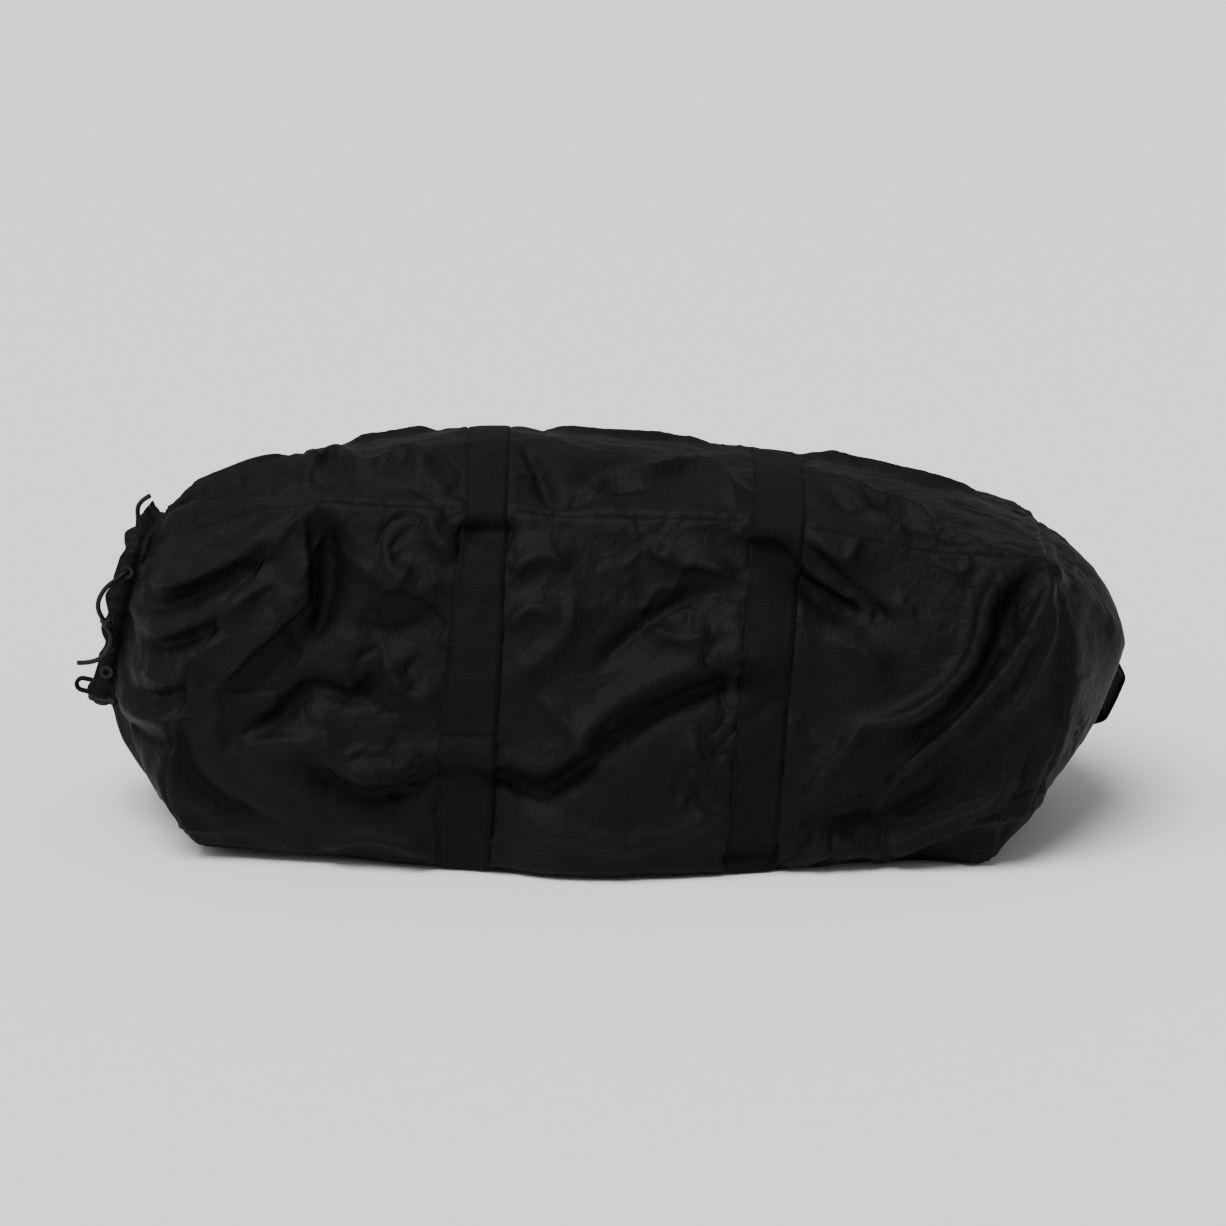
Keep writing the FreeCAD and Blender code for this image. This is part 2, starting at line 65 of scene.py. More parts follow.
makeCamera(viewSettings)


class Value:
    def __init__(self, tree, socket):
        self.tree = tree
        self.socket = socket

    def math(self, operation, *others, swapped=False):
        inputs = [self, *others]
        if swapped:
            inputs.reverse()
        return self.tree.node("ShaderNodeMath", {"operation": operation}, dict(enumerate(inputs)))

    def __add__(self, other):
        return self.math("ADD", other)

    __radd__ = __add__

    def __sub__(self, other):
        return self.math("SUBTRACT", other)

    def __rsub__(self, other):
        return self.math("SUBTRACT", other, swapped=True)

    def __mul__(self, other):
        return self.math("MULTIPLY", other)

    __rmul__ = __mul__

    def wave(self):
        return self.math("SINE")

    def size(self):
        return self.math("ABSOLUTE")

    def part(self):
        return self.math("FRACT")

    def below(self, level):
        return self.math("LESS_THAN", level)

    def clamped(self):
        return self.tree.node("ShaderNodeClamp", {}, {"Value": self})


class Finish:
    def __init__(self, name):
        self.material = bpy.data.materials.new(name)
        self.material.use_nodes = True
        self.nodes = self.material.node_tree.nodes
        self.links = self.material.node_tree.links
        self.shader = self.nodes["Principled BSDF"]

    def node(self, kind, settings, sockets, output=0):
        made = self.nodes.new(kind)
        for key, value in settings.items():
            setattr(made, key, value)
        for key, value in sockets.items():
            self.feed(made.inputs[key], value)
        return Value(self, made.outputs[output])

    def feed(self, socket, value):
        if isinstance(value, Value):
            self.links.new(value.socket, socket)
        else:
            socket.default_value = value

    def surface(self, **sockets):
        for key, value in sockets.items():
            self.feed(self.shader.inputs[key.replace("_", " ")], value)
        return self.material

    def place(self):
        return self.node("ShaderNodeTexCoord", {}, {}, "Object")

    def sheetPlace(self):
        return self.node("ShaderNodeUVMap", {"uv_map": "sheet"}, {})

    def parts(self, vector):
        split = self.nodes.new("ShaderNodeSeparateXYZ")
        self.links.new(vector.socket, split.inputs[0])
        return [Value(self, socket) for socket in split.outputs]

    def noise(self, scale, detail=3.0, roughness=0.5, distortion=0.0, place=None):
        return self.node("ShaderNodeTexNoise", {}, {
            "Vector": place or self.place(), "Scale": scale, "Detail": detail,
            "Roughness": roughness, "Distortion": distortion})

    def mix(self, share, first, second):
        return self.node("ShaderNodeMix", {"data_type": "RGBA"}, {
            "Factor": share, 6: first, 7: second}, 2)

    def bump(self, height, distance, strength=1.0, before=None):
        sockets = {"Height": height, "Distance": distance, "Strength": strength}
        if before:
            sockets["Normal"] = before
        return self.node("ShaderNodeBump", {}, sockets)


# the body is one sheet of rings: front, top, back and bottom sides between four seams
bodyShape = {
    # place along the sheet, then front bottom, front, front top, top, back top, back, back bottom, under
    "rings": [
        (0.000, [(-.402, -.042, .109), (-.388, -.050, .169), (-.374, -.042, .229), (-.360, .004, .252),
                 (-.372, .042, .231), (-.388, .050, .169), (-.402, .042, .109), (-.404, 0, .099)]),
        (0.040, [(-.372, -.088, .064), (-.378, -.108, .150), (-.336, -.084, .256), (-.326, .004, .268),
                 (-.335, .085, .252), (-.360, .105, .150), (-.374, .090, .062), (-.376, 0, .052)]),
        (0.090, [(-.333, -.130, .009), (-.344, -.158, .120), (-.233, -.131, .290), (-.250, 0, .294),
                 (-.240, .134, .270), (-.300, .150, .140), (-.332, .150, .008), (-.335, 0, .001)]),
        (0.280, [(-.118, -.162, .001), (-.110, -.178, .140), (-.099, -.136, .284), (-.101, 0, .319),
                 (-.104, .138, .264), (-.109, .153, .140), (-.112, .159, .001), (-.115, 0, .000)]),
        (0.388, [(-.015, -.192, .001), (.000, -.184, .140), (.005, -.137, .279), (.006, 0, .306),
                 (.004, .138, .262), (.000, .154, .140), (.000, .161, .001), (.000, 0, .000)]),
        (0.503, [(.106, -.170, .001), (.113, -.178, .135), (.127, -.138, .274), (.130, 0, .295),
                 (.122, .138, .262), (.115, .153, .135), (.110, .159, .001), (.110, 0, .000)]),
        (0.615, [(.205, -.146, .002), (.230, -.172, .130), (.234, -.134, .255), (.238, 0, .270),
                 (.235, .136, .250), (.230, .150, .130), (.205, .157, .001), (.200, 0, .000)]),
        (0.715, [(.291, -.150, .001), (.349, -.154, .120), (.335, -.129, .242), (.341, 0, .240),
                 (.338, .131, .230), (.350, .150, .120), (.298, .152, .001), (.292, 0, .001)]),
        (0.760, [(.330, -.098, .042), (.374, -.108, .114), (.374, -.092, .202), (.382, 0, .209),
                 (.374, .092, .196), (.374, .108, .114), (.330, .098, .042), (.326, 0, .034)]),
        (0.800, [(.364, -.054, .070), (.388, -.066, .108), (.407, -.058, .153), (.409, 0, .160),
                 (.407, .058, .153), (.388, .066, .108), (.364, .054, .070), (.360, 0, .062)]),
        (0.840, [(.387, -.004, .104), (.388, -.005, .108), (.389, -.004, .112), (.389, 0, .112),
                 (.389, .004, .112), (.388, .005, .108), (.387, .004, .104), (.387, 0, .104)]),
    ],
    "creasedRings": [2, 7],  # the seams at the two ends of the body
    "bands": [0.280, 0.503],
    "bandWidth": 0.038,
    "columns": 128,
    "sideRows": [44, 42, 40, 48],
    "rounding": 2,
    "finer": 3,
}
collarSeam = bodyShape["rings"][2][0]
endSeam = bodyShape["rings"][7][0]
sheetEnd = bodyShape["rings"][-1][0]


def smoothThrough(places, points, wanted):
    places = np.array(places, float)
    points = np.array(points, float)
    slopes = np.zeros_like(points)
    for i in range(len(places)):
        low, high = max(i - 1, 0), min(i + 1, len(places) - 1)
        slopes[i] = (points[high] - points[low]) / (places[high] - places[low])
    at = np.clip(np.searchsorted(places, wanted, "right") - 1, 0, len(places) - 2)
    gap = places[at + 1] - places[at]
    t = (wanted - places[at]) / gap
    shape = (-1,) + (1,) * (points.ndim - 1)
    t, gap = t.reshape(shape), gap.reshape(shape)
    return (points[at] * (2 * t**3 - 3 * t**2 + 1) + slopes[at] * gap * (t**3 - 2 * t**2 + t)
            + points[at + 1] * (3 * t**2 - 2 * t**3) + slopes[at + 1] * gap * (t**3 - t**2))


def blurGrid(grid, turns):
    for _ in range(turns):
        around = (np.roll(grid, 1, 1) + np.roll(grid, -1, 1)) / 2
        along = grid.copy()
        along[1:-1] = (grid[:-2] + grid[2:]) / 2
        softer = grid * 0.4 + around * 0.3 + along * 0.3
        softer[0], softer[-1] = grid[0], grid[-1]
        grid = softer
    return grid


def bodyGrid(shape):
    places = np.array([place for place, _ in shape["rings"]])
    rings = np.array([ring for _, ring in shape["rings"]], float)
    wanted = np.linspace(places[0], places[-1], shape["columns"])
    cuts = [0, *shape["creasedRings"], len(places) - 1]
    columns = np.zeros((len(wanted), 8, 3))
    for first, last in zip(cuts, cuts[1:]):
        inside = (wanted >= places[first] - 1e-9) & (wanted <= places[last] + 1e-9)
        columns[inside] = smoothThrough(places[first:last + 1], rings[first:last + 1], wanted[inside])
    rows, sides, across = [], [], []
    for side, count in enumerate(shape["sideRows"]):
        t = (np.arange(count) / count).reshape(1, -1, 1)
        a = columns[:, 2 * side].reshape(-1, 1, 3)
        m = columns[:, 2 * side + 1].reshape(-1, 1, 3)
        b = columns[:, (2 * side + 2) % 8].reshape(-1, 1, 3)
        rows.append(a * (1 - t) * (1 - 2 * t) + m * 4 * t * (1 - t) + b * t * (2 * t - 1))
        sides += [side] * count
        across += list(np.arange(count) / count)
    return wanted, np.array(sides), np.array(across), np.concatenate(rows, 1)


def finerGrid(grid, times):
    wide = np.concatenate([grid[:, -2:], grid, grid[:, :3]], 1)
    count = grid.shape[1]
    at = np.arange(count * times) / times + 2
    low = np.floor(at).astype(int)
    t = (at - low).reshape(1, -1, *(1,) * (grid.ndim - 2))
    p0, p1, p2, p3 = (wide[:, low + k] for k in (-1, 0, 1, 2))
    around = 0.5 * (2 * p1 + (p2 - p0) * t + (2 * p0 - 5 * p1 + 4 * p2 - p3) * t**2
                    + (3 * p1 - p0 - 3 * p2 + p3) * t**3)
    longer = np.concatenate([2 * around[:1] - around[1:2], around, 2 * around[-1:] - around[-2:-1]], 0)
    at = np.linspace(0, grid.shape[0] - 1, (grid.shape[0] - 1) * times + 1)
    low = np.minimum(np.floor(at).astype(int), grid.shape[0] - 2)
    t = (at - low).reshape(-1, 1, *(1,) * (grid.ndim - 2))
    p0, p1, p2, p3 = (longer[low + 1 + k] for k in (-1, 0, 1, 2))
    return 0.5 * (2 * p1 + (p2 - p0) * t + (2 * p0 - 5 * p1 + 4 * p2 - p3) * t**2
                  + (3 * p1 - p0 - 3 * p2 + p3) * t**3)


def gridNormals(grid):
    along = np.gradient(grid, axis=0)
    around = np.roll(grid, -1, 1) - np.roll(grid, 1, 1)
    normal = np.cross(around, along)
    length = np.linalg.norm(normal, axis=2, keepdims=True)
    normal = normal / np.maximum(length, 1e-9)
    middle = grid.mean(1, keepdims=True)
    outward = np.sign(np.sum((grid - middle) * normal, 2).mean())
    return normal * outward


# folds are lines on the cloth, each raised or sunk, with its own width on either side
frontFolds = [  # (x, z) points, height, width above, width below
    ([(-.140, .090), (-.088, .080), (-.055, .071), (.005, .116), (.053, .143), (.102, .152), (.150, .122)],
     -.0070, .014, .010),
    ([(-.095, .100), (-.050, .094), (-.005, .138), (.048, .166), (.095, .172)], .0055, .012, .010),
    ([(-.120, .270), (-.097, .267), (-.074, .269)], -.0080, .009, .013),
    ([(.095, .260), (.125, .252), (.150, .225), (.196, .200)], -.0100, .007, .012),
    ([(.078, .016), (.104, .012), (.130, .016)], -.0060, .010, .008),
    ([(-.150, .103), (-.112, .098), (-.080, .094)], .0050, .016, .006),
    ([(.080, .178), (.104, .176), (.134, .168)], .0050, .016, .008),
    ([(-.240, .278), (-.285, .250), (-.330, .226), (-.368, .214)], .0075, .005, .009),
    ([(-.262, .246), (-.300, .226), (-.345, .204), (-.370, .198)], -.0060, .006, .006),
    ([(-.268, .228), (-.305, .206), (-.345, .188), (-.374, .182)], .0075, .005, .008),
    ([(-.300, .196), (-.335, .178), (-.372, .168)], -.0055, .006, .006),
    ([(-.300, .186), (-.326, .170), (-.336, .152), (-.372, .150)], .0065, .005, .007),
    ([(-.322, .150), (-.350, .134), (-.384, .130)], -.0050, .006, .006),
    ([(-.330, .122), (-.352, .118), (-.384, .116)], .0050, .005, .006),
    ([(-.336, .098), (-.360, .100), (-.388, .104)], -.0040, .006, .006),
    ([(-.015, .165), (.016, .193), (.059, .219), (.080, .226)], -.0050, .012, .007),
    ([(-.078, .233), (-.069, .245), (-.049, .249), (-.040, .236)], .0050, .012, .005),
    ([(-.142, .280), (-.136, .262), (-.121, .250)], .0050, .008, .008),
    ([(-.289, .108), (-.256, .125), (-.233, .147), (-.198, .142), (-.178, .175)], -.0075, .010, .010),
    ([(-.298, .088), (-.272, .104), (-.228, .104), (-.206, .086), (-.179, .085), (-.132, .104)],
     .0060, .012, .007),
    ([(-.238, .090), (-.210, .068), (-.184, .062), (-.132, .086)], -.0065, .007, .014),
    ([(-.338, .130), (-.333, .085), (-.316, .060), (-.294, .045), (-.265, .037)], -.0050, .009, .009),
    ([(-.236, .010), (-.193, .028), (-.138, .012)], .0045, .010, .008),
    ([(-.225, .285), (-.219, .240), (-.225, .200), (-.236, .180)], -.0060, .010, .010),
    ([(-.226, .280), (-.224, .240), (-.226, .205), (-.250, .178), (-.298, .138)], -.0030, .012, .014),
    ([(.333, .246), (.290, .226), (.270, .170), (.232, .135), (.184, .121)], .0095, .006, .011),
    ([(.190, .124), (.172, .100), (.142, .064)], .0060, .007, .009),
    ([(.340, .240), (.326, .204), (.300, .164), (.258, .120), (.218, .084), (.202, .055)], .0095, .006, .009),
    ([(.318, .232), (.300, .196), (.278, .150), (.240, .108), (.204, .082)], -.0030, .007, .007),
    ([(.334, .236), (.344, .190), (.346, .150), (.340, .110)], -.0050, .009, .009),
    ([(.326, .240), (.296, .208), (.286, .176), (.262, .150), (.232, .146)], -.0025, .006, .007),
    ([(.336, .232), (.334, .190), (.316, .150), (.286, .116), (.262, .096)], .0050, .006, .007),
    ([(.020, .200), (.052, .190), (.078, .196)], .0045, .007, .008),
    ([(-.086, .196), (-.062, .214), (-.040, .204)], .0050, .007, .007),
    ([(-.060, .150), (-.030, .120), (-.010, .088)], .0035, .010, .012),
    ([(.060, .120), (.064, .080), (.082, .056)], .0040, .008, .010),
    ([(-.180, .175), (-.160, .150), (-.134, .140)], .0045, .008, .010),
    ([(-.176, .262), (-.170, .240), (-.150, .232)], .0045, .007, .008),
    ([(.122, .014), (.176, .020), (.210, .020), (.246, .038), (.292, .058), (.302, .085), (.298, .124)],
     .0060, .009, .012),
    ([(.150, .040), (.200, .042), (.250, .064), (.272, .100)], -.0040, .012, .010),
    ([(.204, .006), (.250, .030), (.296, .044), (.330, .046)], .0045, .008, .008),
    ([(.140, .258), (.176, .228), (.216, .194)], -.0055, .009, .012),
    ([(.147, .268), (.176, .246), (.190, .268)], .0045, .008, .007),
    ([(.167, .188), (.190, .178), (.208, .162)], .0035, .007, .010),
    ([(.020, .262), (.040, .248), (.070, .244), (.095, .232)], .0035, .010, .010),
    ([(-.090, .160), (-.060, .172), (-.035, .200), (-.030, .230)], .0035, .014, .012),
    ([(-.205, .250), (-.180, .232), (-.150, .226), (-.130, .232)], .0040, .012, .012),
    ([(-.200, .205), (-.175, .192), (-.150, .200), (-.134, .215)], -.0040, .010, .012),
    ([(-.088, .030), (-.040, .040), (.010, .030), (.060, .045), (.094, .070)], .0035, .016, .012),
]
topFolds = [  # (x, y) points, height, width behind, width in front
    ([(-.368, -.036), (-.335, -.064), (-.296, -.092), (-.255, -.124)], .0080, .005, .009),
    ([(-.366, -.020), (-.330, -.038), (-.290, -.062), (-.250, -.088)], -.0055, .006, .006),
    ([(-.362, -.002), (-.320, -.012), (-.275, -.032), (-.235, -.052)], .0080, .006, .009),
    ([(-.360, .020), (-.318, .022), (-.280, .010), (-.240, -.010)], -.0060, .008, .009),
    ([(-.360, .040), (-.310, .060), (-.262, .090)], .0070, .009, .009),
    ([(-.250, -.100), (-.223, -.031), (-.198, -.080), (-.160, -.068), (-.146, -.104), (-.130, -.123)],
     .0065, .014, .008),
    ([(-.262, -.060), (-.225, -.088), (-.190, -.112), (-.160, -.122)], -.0050, .010, .010),
    ([(-.075, -.030), (-.060, -.080), (-.048, -.121), (-.034, -.121), (-.018, -.081), (.000, -.060)],
     -.0060, .010, .010),
    ([(-.042, -.127), (-.013, -.095), (.028, -.082), (.066, -.040)], .0060, .012, .008),
    ([(.066, -.040), (.084, -.070), (.092, -.119)], .0050, .009, .009),
    ([(.154, -.057), (.180, -.073), (.200, -.108), (.236, -.117)], .0055, .009, .008),
    ([(.160, -.020), (.200, -.070), (.232, -.074), (.262, -.108), (.300, -.126)], .0050, .010, .008),
    ([(.165, -.090), (.190, -.100), (.230, -.095), (.270, -.122)], -.0040, .009, .009),
    ([(-.215, .020), (-.180, .060), (-.140, .050)], .0050, .016, .012),
    ([(-.070, .080), (-.020, .050), (.040, .070), (.085, .040)], .0050, .018, .012),
    ([(.150, .050), (.200, .080), (.260, .050), (.310, .070)], .0050, .016, .012),
]
backFolds = [  # (x, z) points, height, width above, width below
    ([(-.300, .060), (-.250, .090), (-.200, .080), (-.135, .120)], .0060, .014, .010),
    ([(-.280, .180), (-.230, .160), (-.180, .190), (-.135, .180)], -.0060, .012, .012),
    ([(-.085, .100), (-.040, .080), (.020, .110), (.085, .090)], .0060, .018, .012),
    ([(-.080, .210), (-.030, .180), (.030, .200), (.080, .170)], -.0055, .014, .012),
    ([(.140, .080), (.190, .110), (.250, .090), (.320, .140)], .0060, .014, .010),
    ([(.140, .200), (.200, .170), (.260, .190), (.330, .170)], -.0055, .012, .012),
    ([(.150, .030), (.210, .040), (.280, .020)], .0045, .012, .010),
]
foldSides = ((0, (0, 2), frontFolds), (1, (0, 1), topFolds), (2, (0, 2), backFolds))  # side, axes, folds
frontFlaps = [  # corners clockwise, height, then how sharply each edge drops
    {"corners": [(-.235, .292), (-.233, .212), (-.301, .150), (-.322, .171)], "height": 0.0125,
     "edges": [0.0035, 0.0035, 0.008, 0.040]},
]
foldSettings = {
    "strength": 1.3,
    "steps": 72,
    "reach": 5,  # widths a fold reaches to either side
    "ends": 0.22,  # share of its length over which a fold dies away
    "endShare": 0.25,
    "seamShare": 0.35,
    "seamFade": 0.10,
    "bandMargin": 0.016,
    "bandCut": 0.25,
    "softScale": 0.16,
    "softHeight": 0.0030,
    "softBandCut": 0.6,
    "backShare": 0.45,
    "underShare": 0.15,
    "rimShare": 0.35,
    "rimFade": 0.022,
    "closedFrom": 0.79,
    "closedShare": 0.1,
}


def rise(value, low, high):
    t = np.clip((value - low) / (high - low), 0, 1)
    return t * t * (3 - 2 * t)


def eased(share, amount):
    return share + (1 - share) * amount


def flapField(flat, flap):
    lift = np.full(flat.shape[:-1], flap["height"])
    corners = np.array(flap["corners"], float)
    for corner, following, soft in zip(corners, np.roll(corners, -1, 0), flap["edges"]):
        way = (following - corner) / np.linalg.norm(following - corner)
        inside = (flat[..., 0] - corner[0]) * way[1] - (flat[..., 1] - corner[1]) * way[0]
        lift = lift * rise(inside, 0, soft)
    return lift


def foldField(flat, fold):
    points, height, widthAbove, widthBelow = fold
    points = np.array(points, float)
    places = np.concatenate([[0], np.cumsum(np.linalg.norm(np.diff(points, axis=0), axis=1))])
    wanted = np.linspace(0, places[-1], foldSettings["steps"])
    line = smoothThrough(places, points, wanted)
    tangent = np.gradient(line, axis=0)
    tangent /= np.linalg.norm(tangent, axis=1, keepdims=True)
    reach = foldSettings["reach"]
    room = reach * max(widthAbove, widthBelow)
    low, high = line.min(0) - room, line.max(0) + room
    near = np.all((flat >= low) & (flat <= high), axis=-1)
    out = np.zeros(flat.shape[:-1])
    if not near.any():
        return out
    spots = flat[near]
    away = spots[:, None, :] - line[None, :, :]
    distance = np.linalg.norm(away, axis=2)
    best = distance.argmin(1)
    pick = np.arange(len(spots))
    turn = tangent[best, 0] * away[pick, best, 1] - tangent[best, 1] * away[pick, best, 0]
    upwards = turn if line[-1, 0] >= line[0, 0] else -turn
    inner = (best > 0) & (best < len(line) - 1)
    apart = np.where(inner, np.abs(turn), distance[pick, best])
    width = np.where(upwards > 0, widthAbove, widthBelow)
    share = wanted[best] / places[-1]
    taper = np.clip(np.minimum(share, 1 - share) / foldSettings["ends"], 0, 1)
    least = foldSettings["endShare"]
    taper = least + (1 - least) * taper * taper * (3 - 2 * taper)
    crest = 1 / (1 + (apart / width) ** 2) - 1 / (1 + reach**2)  # nothing left at the reach
    out[near] = foldSettings["strength"] * height * taper * crest
    out[near] = np.where(apart < reach * width, out[near], 0)
    return out


def steady(seed):
    return np.random.RandomState(seed)


def slowNoise(points, scale, seed):
    draw = steady(seed)
    total = np.zeros(points.shape[:-1])
    for octave in range(3):
        for _ in range(7):
            way = draw.normal(size=3)
            way /= np.linalg.norm(way)
            rate = 2 * math.pi / (scale * draw.uniform(0.6, 1.5)) * (2**octave)
            bend = draw.normal(size=3) * rate * 0.5
            phase = draw.uniform(0, 6.28)
            swing = 0.8 * np.sin(points @ bend + phase)
            total += np.sin(points @ way * rate + swing + phase * 2) / (1.7**octave)
    return total / 6


def meshPiece(name, points, faces, uv=None):
    mesh = bpy.data.meshes.new(name)
    mesh.from_pydata([tuple(p) for p in points], [], faces)
    if uv is not None:
        layer = mesh.uv_layers.new(name="sheet")
        corners = np.zeros(len(mesh.loops), int)
        mesh.loops.foreach_get("vertex_index", corners)
        layer.data.foreach_set("uv", np.asarray(uv, float)[corners].astype(np.float32).ravel())
    mesh.polygons.foreach_set("use_smooth", np.ones(len(mesh.polygons), bool))
    mesh.update()
    piece = bpy.data.objects.new(name, mesh)
    bpy.context.scene.collection.objects.link(piece)
    return piece


def gridFaces(columns, rows, closed=False):
    at = np.arange(columns * rows).reshape(columns, rows)
    nextRow = np.roll(at, -1, 1) if closed else at[:, 1:]
    here = at if closed else at[:, :-1]
    return np.stack([here[:-1], here[1:], nextRow[1:], nextRow[:-1]], -1).reshape(-1, 4).tolist()


def gridPiece(name, grid, uv=None, closed=False):
    columns, rows = grid.shape[:2]
    flatUv = None if uv is None else uv.reshape(-1, 2)
    return meshPiece(name, grid.reshape(-1, 3), gridFaces(columns, rows, closed), flatUv)


clothSettings = {
    "frames": 16,
    "hold": 0.10,  # how firmly open cloth keeps to its shaped form
    "cap": 0.012,
    "feel": {
        "quality": 6,
        "mass": 0.25,
        "air_damping": 4.0,
        "tension_stiffness": 12.0,
        "compression_stiffness": 12.0,
        "shear_stiffness": 4.0,
        "bending_stiffness": 1.6,
        "tension_damping": 8.0,
        "compression_damping": 8.0,
        "bending_damping": 0.6,
        "vertex_group_mass": "hold",
        "pin_stiffness": 2.0,
        "shrink_min": -0.040,  # share of extra cloth that has to buckle
        "use_pressure": True,
        "uniform_pressure_force": 0.15,
    },
}


def simulateCloth(grid, hold, settings):
    piece = gridPiece("clothWork", grid, closed=True)
    group = piece.vertex_groups.new(name="hold")
    for index, weight in enumerate(hold.ravel()):
        group.add([index], float(weight), "REPLACE")
    cloth = piece.modifiers.new("cloth", "CLOTH")
    for key, value in settings["feel"].items():
        setattr(cloth.settings, key, value)
    cloth.settings.effector_weights.gravity = 0
    cloth.collision_settings.use_collision = False
    scene = bpy.context.scene
    cloth.point_cache.frame_start = 1
    cloth.point_cache.frame_end = settings["frames"]
    for step in range(1, settings["frames"] + 1):
        scene.frame_set(step)
    settled = piece.evaluated_get(bpy.context.evaluated_depsgraph_get()).data
    points = np.zeros(len(settled.vertices) * 3)
    settled.vertices.foreach_get("co", points)
    scene.frame_set(1)
    bpy.data.objects.remove(piece)
    moved = blurGrid(points.reshape(grid.shape) - grid, 3)
    reach = np.linalg.norm(moved, axis=2, keepdims=True)
    print("cloth moved", round(float(reach.max() * 1000), 1), "mm at most")
    cap = settings["cap"]
    return grid + moved * (cap * np.tanh(reach / cap) / np.maximum(reach, 1e-9))


def bandNearness(places, shape, margin):
    near = np.zeros_like(places)
    edge = shape["bandWidth"] / 2
    for centre in shape["bands"]:
        near = np.maximum(near, 1 - rise(np.abs(places - centre), edge, edge + margin))
    return near


finePleats = {"count": 36, "rimHeight": 0.0042, "reach": 0.085, "width": 0.007, "seed": 8,
               "ends": (0.13, 0.10)}
largePleats = {"count": 12, "rimHeight": 0.0120, "reach": 0.150, "width": 0.020, "seed": 21,
                "ends": (0.19, 0.12)}


def pleats(places, around, settings):
    draw = steady(settings["seed"])
    share = around / around.max()
    count = settings["count"]
    middles = (np.arange(count) + draw.uniform(-0.35, 0.35, count)) / count
    reaches = draw.uniform(0.35, 1.25, count) * settings["reach"]
    heights = draw.uniform(0.5, 1.3, count) * settings["rimHeight"]
    lean = draw.uniform(-0.25, 0.25, count)
    total = np.zeros((len(places), len(share)))
    for middle, reach, height, slant in zip(middles, reaches, heights, lean):
        drift = middle + slant * places[:, None] * 0.8
        distance = np.abs((share[None, :] - drift + 0.5) % 1 - 0.5)
        width = settings["width"] + 0.05 * places[:, None]
        fade = np.clip(1 - places[:, None] / reach, 0, 1)
        total += height * fade * np.exp(-(distance / width) ** 2)
    end, fadeLength = settings["ends"]
    return (total - total.mean(1, keepdims=True)) * rise(end - places, 0, fadeLength)[:, None]


places, sides, across, baseGrid = bodyGrid(bodyShape)
baseGrid = blurGrid(baseGrid, bodyShape["rounding"])
normals = gridNormals(baseGrid)
step = np.linalg.norm(np.roll(baseGrid, -1, 1) - baseGrid, axis=2)
around = np.cumsum(step.mean(0))
lift = np.zeros(baseGrid.shape[:2])
fromSeam = np.minimum(across, 1 - across)[None, :] * np.ones((len(places), 1))
edgeFade = eased(foldSettings["seamShare"], rise(fromSeam, 0.0, foldSettings["seamFade"]))
for side, axes, folds in foldSides:
    here = sides == side
    flat = baseGrid[:, here][:, :, axes]
    field = sum(foldField(flat, fold) for fold in folds)
    lift[:, here] += field * edgeFade[:, here]
nearBand = bandNearness(places, bodyShape, foldSettings["bandMargin"])[:, None]
lift *= 1 - foldSettings["bandCut"] * nearBand
soft = slowNoise(baseGrid, foldSettings["softScale"], 3)
lift += soft * foldSettings["softHeight"] * (1 - foldSettings["softBandCut"] * nearBand)
lift[:, sides == 2] *= foldSettings["backShare"]
lift[:, sides == 3] *= foldSettings["underShare"]
rimEase = eased(foldSettings["rimShare"], rise(places, 0, foldSettings["rimFade"]))[:, None]
for pleatSettings in (finePleats, largePleats):
    lift += pleats(places, around, pleatSettings) * rimEase
lift[places > foldSettings["closedFrom"]] *= foldSettings["closedShare"]
foldedGrid = baseGrid + normals * lift[..., None]
foldedGrid = blurGrid(foldedGrid, 1)
print("folds laid")

seamHold = 1 - rise(fromSeam, 0.0, 0.05)
endHold = np.maximum(1 - 0.7 * rise(places, 0.0, 0.10), rise(places, endSeam, 0.78))[:, None]
ringWidth = 0.006
seamRings = sum(np.exp(-((places - seam) / ringWidth) ** 2) for seam in (collarSeam, endSeam))
bandHold = 0.4 * bandNearness(places, bodyShape, ringWidth)[:, None]
hold = np.maximum(np.maximum(seamHold, endHold), np.maximum(seamRings[:, None], bandHold))
hold[:, sides == 3] = 1
hold[:, sides == 2] = 0.6
hold = np.maximum(hold, clothSettings["hold"])
foldedGrid = simulateCloth(foldedGrid, np.clip(hold, 0, 1), clothSettings)
print("cloth settled")


# seams, puckers and creases are laid on the finer grid
seamSettings = {
    "groove": 0.0016,
    "grooveWidth": 0.0022,
    "shoulder": 0.0006,
    "shoulderWidth": 0.0045,
    "shoulderPlace": 0.005,
    "pucker": 0.0007,
    "puckerReach": 0.014,
    "puckerScale": 0.020,
    "bandPucker": 0.0018,
    "bandPuckerReach": 0.010,
    "bandPuckerScale": 0.026,
    "underBand": 0.0010,
    "floor": 0.0003,
    "floorUnderBand": 0.0020,
    "farAway": 9.0,
}
pressSettings = {
    "strapY": 0.148,
    "strapZ": 0.245,
    "strapLean": 6.0,
    "strapReach": 0.250,
    "strapLow": 0.040,
    "strapHigh": 0.232,
    "strapRoom": 0.0052,
    "facet": (0.386, 0.0, 0.108),
    "facetLean": 23.0,
    "facetReach": (0.066, 0.054),
    "facetFrom": 0.3,
    "facetSink": 0.0004,
    "sideEase": 0.03,
    "heightEase": 0.02,
}


